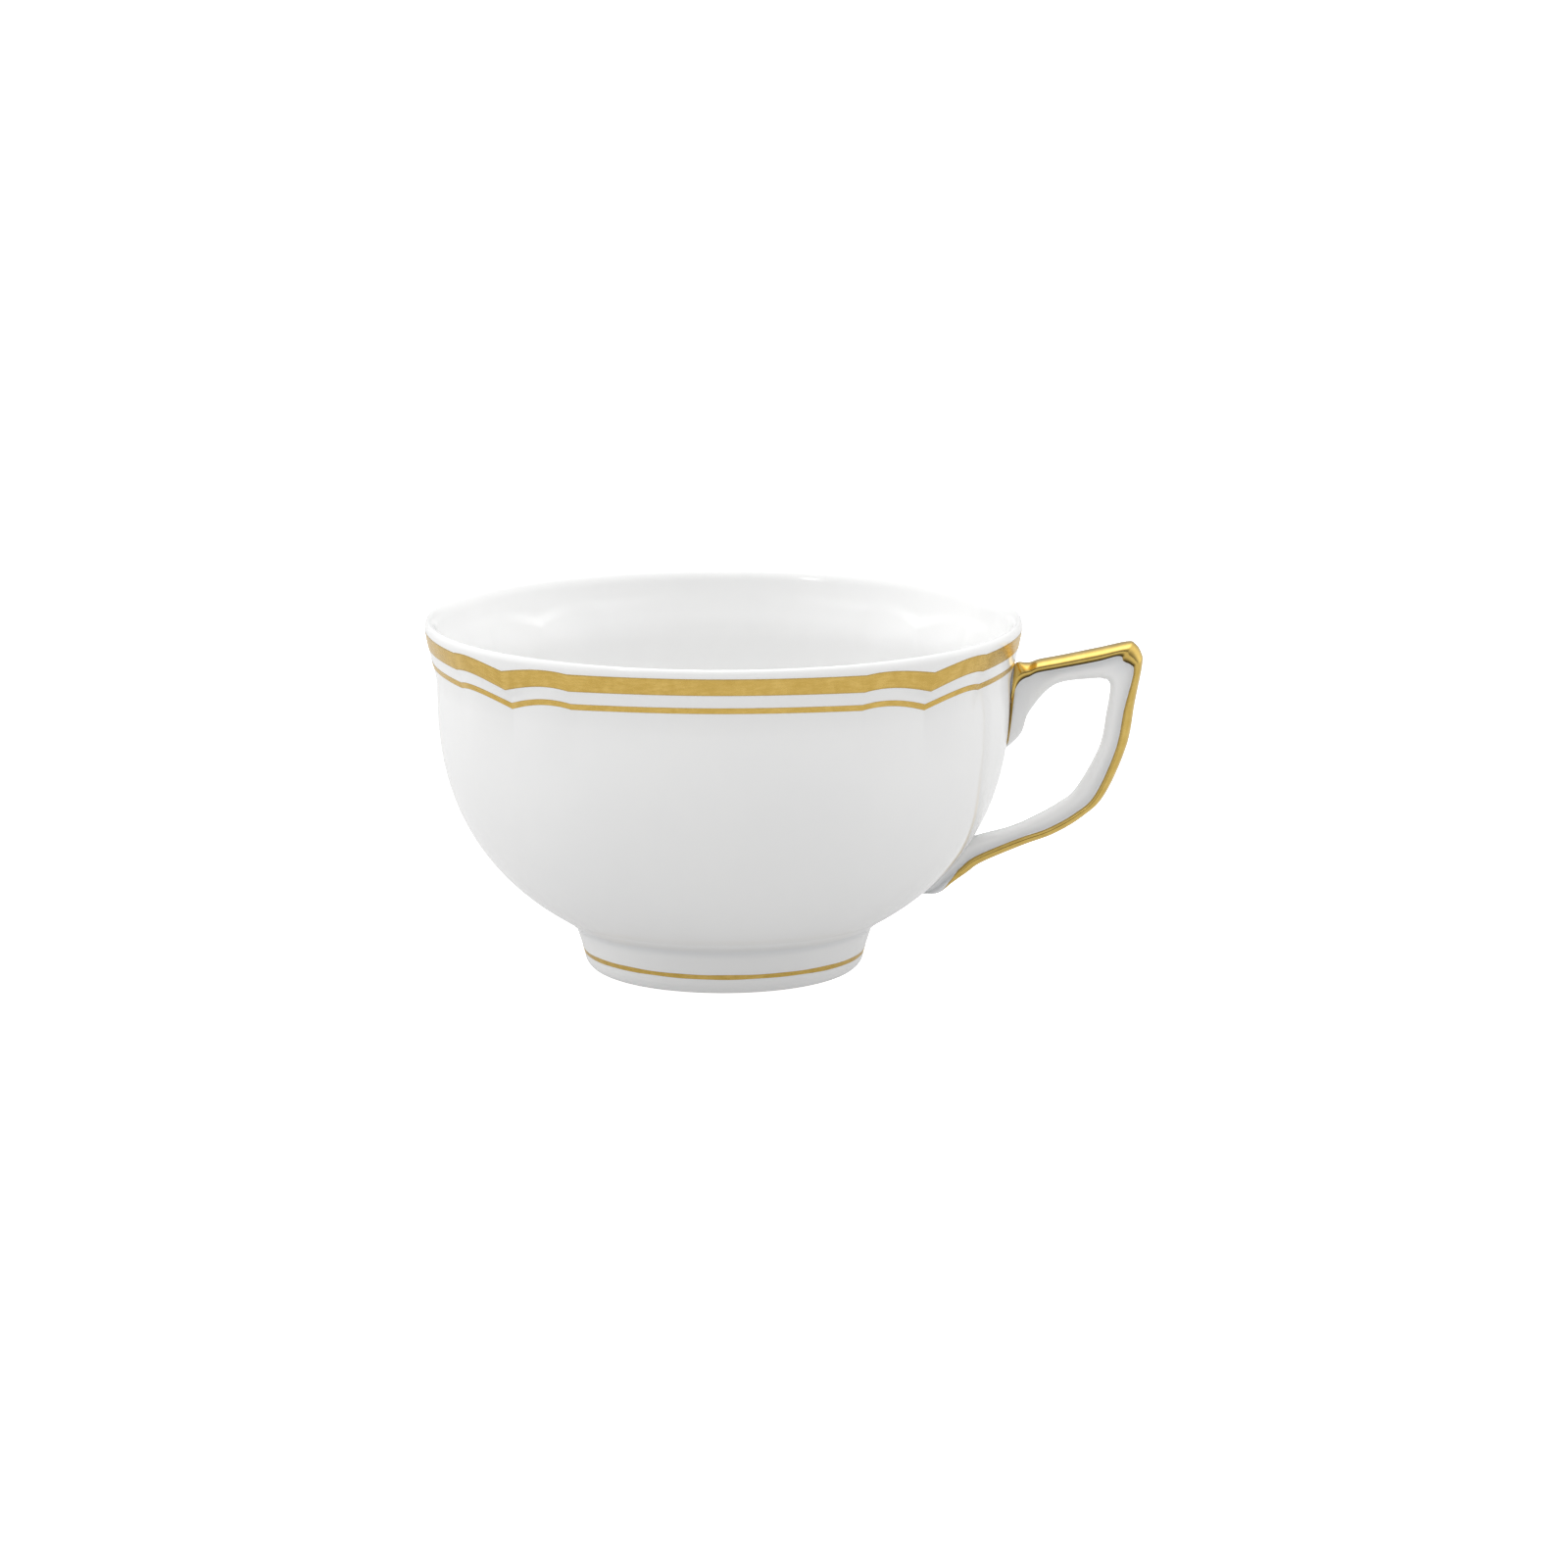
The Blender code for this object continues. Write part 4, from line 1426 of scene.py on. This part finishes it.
    @staticmethod
    def painted_crease_reflection(normals: np.ndarray, s: np.ndarray) -> np.ndarray:
        """Mask of a painted dark reflection: under the bead's shoulder, where the surface looks down.

        Args:
            normals: Outward unit normals of the leaf.
            s: Places round the section.

        Returns:
            The mask.
        """
        return smooth_step(-normals[..., 2], 0.05, 0.55) * smooth_step(np.abs(s), 0.32, 0.46)

    def outward(self, points: np.ndarray, t: np.ndarray, s: np.ndarray) -> np.ndarray:
        """Unit normals of the filleted surface, turned away from the middle of its sections.

        Args:
            points: Points of the surface at (t, s).
            t: Places along the run.
            s: Places round the section.

        Returns:
            One normal for each point.
        """
        normals = self.normals_of(self.surface, t, s)
        far, near = self.outlines()
        middle = 0.5 * (smooth_run(far, t) + smooth_run(near, t))
        away = points - np.stack([middle[..., 0], np.zeros_like(t), middle[..., 1]], -1)
        return normals * math.copysign(1.0, float(np.sum(away * normals)))

    def root_line(self) -> bpy.types.Object:
        """Leaf on the fillet round the upper root, up one side and down the other.

        Returns:
            The leaf.
        """
        place = np.linspace(-self.root_place, self.root_place, 131)
        across = np.concatenate([[0, 0.03, 0.1], np.linspace(0.2, 0.85, 12), [0.93, 0.98, 1]])
        low = self.bare_surface(np.zeros_like(place), place)
        high = self.bare_surface(np.ones_like(place), place)
        length = high[:, 0] - low[:, 0]
        point = np.clip((np.abs(place) - 0.5) / 0.37, 0, 1)
        least, crest = self.root_width
        wide = (least + crest * np.clip(1 - np.abs(place) / 0.5, 0, 1)) * np.sqrt(1 - point**2) * MM
        start = 0.97 * self.sink
        s, share = np.meshgrid(place, across, indexing="xy")
        t = (start + share * wide[None, :]) / length[None, :]
        points = self.surface(t, s)
        normals = self.outward(points, t, s)
        along = walked(points[across.size // 3])
        run = np.stack(np.broadcast_arrays(along[None, :], across[:, None]), -1)
        skin = leaf(self.shifted(points), normals, False, run, film=1.3 * FILM)
        return skin.to_object("handle_root_gilt")

    def finish_pieces(self, workshop: Workshop) -> None:
        """Builds and dresses the handle, its bead's leaf and its root's leaf."""
        workshop.dress(self.build(), self.finish, "handle")
        workshop.dress(self.gilding(), self.gilt, "handle_gilding")
        workshop.dress(self.root_line(), self.root_gilt, "handle_root_gilding")


@dataclass(frozen=True)
class SoftBox:
    """A soft studio lamp.

    Attributes:
        name: Name of the lamp.
        azimuth: Degrees round the cup, 0 where the camera stands and 90 on the handle's side.
        elevation: Degrees above the table.
        distance: Metres from the cup.
        size: Width and height in metres.
        power: Watts.
    """

    name: str
    azimuth: float
    elevation: float
    distance: float
    size: tuple[float, float]
    power: float

    def place(self, centre: Vector) -> None:
        """Hangs the lamp so that it faces the cup."""
        lamp = bpy.data.lights.new(self.name, "AREA")
        lamp.shape = "RECTANGLE"
        lamp.size, lamp.size_y = self.size
        lamp.energy = self.power
        made = bpy.data.objects.new(self.name, lamp)
        turn, lift = math.radians(self.azimuth), math.radians(self.elevation)
        flat = math.cos(lift)
        way = Vector((math.sin(turn) * flat, -math.cos(turn) * flat, math.sin(lift)))
        made.location = centre + way * self.distance
        made.rotation_mode = "QUATERNION"
        made.rotation_quaternion = way.to_track_quat("Z", "Y")
        to_scene(made)


@dataclass
class Studio:
    """Pale floor, soft lamp, pale tent and the camera.

    Attributes:
        form: Shape of the cup.
        camera_place: Place of the camera about the cup's axis, before its turn.
        camera_tilt: Degrees that it looks down; camera_turn is degrees round the cup.
        lens: Focal length in millimetres for a 36 mm sensor.
        front: Brightness of the tent all round; left, right, top and back add to it.
        floor_glow: Glow of the floor in reflections, and camera_glow where the camera sees it.
        floor_quiet: Shade of the floor in reflections, and floor_pale where the camera sees it.
        lamps: The soft lamps.
    """

    form: CupForm
    camera_place: tuple[float, float, float] = (9.593 * MM, -997.8 * MM, 230.3 * MM)
    camera_tilt: float = 11.369
    camera_turn: float = 1.0
    lens: float = 146.25
    front: float = 0.26
    left: float = 1.42
    right: float = 1.12
    top: float = 2.5
    back: float = 0.30
    floor_glow: float = 0.40
    camera_glow: float = 0.75
    floor_quiet: Tint = Tint(0.34, 0.34, 0.34)
    floor_pale: Tint = Tint(0.92, 0.92, 0.92)
    lamps: tuple[SoftBox, ...] = (SoftBox("window_softbox", -38.0, 34.0, 1.4, (0.16, 0.24), 0.55),)

    def camera(self) -> None:
        """Sets the camera, turned round the cup's own axis from straight in front."""
        data = bpy.data.cameras.new("camera")
        data.lens = self.lens
        data.sensor_width = 36.0
        data.clip_start = 0.01
        made = bpy.data.objects.new("camera", data)
        turn = math.radians(self.camera_turn)
        x, y, z = self.camera_place
        made.location = (
            self.form.axis_x + x * math.cos(turn) - y * math.sin(turn),
            x * math.sin(turn) + y * math.cos(turn),
            z,
        )
        made.rotation_euler = (math.radians(90 - self.camera_tilt), 0, turn)
        bpy.context.scene.camera = to_scene(made)

    def surroundings(self) -> None:
        """A tent, brighter at the sides, above and behind, and white where the camera sees it."""
        world = bpy.data.worlds.new("studio")
        world.use_nodes = True
        recipe = Recipe(world.node_tree)
        way = recipe.node("ShaderNodeTexCoord").outputs["Generated"]
        parts = recipe.node("ShaderNodeSeparateXYZ", Vector=way)
        x, y, z = (parts.outputs[axis] for axis in "XYZ")
        aside = recipe.math("POWER", recipe.math("ABSOLUTE", x), 2.2)
        sides = recipe.times(aside, recipe.span(x, -0.3, 0.3, self.left, self.right))
        over = recipe.times(recipe.math("POWER", recipe.math("MAXIMUM", z, 0.0), 4.0), self.top)
        behind = recipe.times(recipe.math("MAXIMUM", y, 0.0), self.back)
        level = recipe.math("ADD", recipe.math("ADD", sides, over), recipe.math("ADD", behind, self.front))
        seen = recipe.node("ShaderNodeLightPath").outputs["Is Camera Ray"]
        level = recipe.math("MAXIMUM", level, seen)
        recipe.fill(world.node_tree.nodes["Background"], Color=(1, 1, 1, 1), Strength=level)
        bpy.context.scene.world = world
        bpy.context.scene.view_settings.view_transform = "Standard"

    def floor(self) -> bpy.types.Object:
        """A pale floor, lifted to white where the camera sees it and quiet in reflections.

        Returns:
            The floor.
        """
        side = 40.0
        points = np.array([[[-side, -side, 0], [side, -side, 0]], [[-side, side, 0], [side, side, 0]]])
        mesh = bpy.data.meshes.new("floor")
        mesh.from_pydata(points.reshape(-1, 3).tolist(), [], [(0, 1, 3, 2)])
        made = to_scene(bpy.data.objects.new("floor", mesh))
        material, recipe, shader = new_material("pale_floor")
        path = recipe.node("ShaderNodeLightPath").outputs["Is Camera Ray"]
        recipe.fill(
            shader,
            Base_Color=recipe.mix(path, self.floor_quiet.rgba(), self.floor_pale.rgba()),
            Roughness=0.9,
            Specular_IOR_Level=0.0,
            Emission_Color=(1, 1, 1, 1),
            Emission_Strength=recipe.span(path, 0.0, 1.0, self.floor_glow, self.camera_glow),
        )
        mesh.materials.append(material)
        return made

    def set_up(self) -> None:
        """Puts the whole studio in place."""
        self.surroundings()
        self.floor()
        centre = Vector((self.form.axis_x, 0, self.form.height / 2))
        for lamp in self.lamps:
            lamp.place(centre)
        self.camera()
        LOG.info("studio: %d lamps", len(self.lamps))


def main() -> None:
    """Builds the cup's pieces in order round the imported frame."""
    logging.basicConfig(level=logging.INFO, format="%(name)s %(message)s")
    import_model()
    form = CupForm.from_frame()
    Studio(form).set_up()
    workshop = Workshop()
    for maker in (Bowl, FootRing, RimGilding, Handle):
        maker(form).finish_pieces(workshop)


if __name__ == "__main__":
    main()
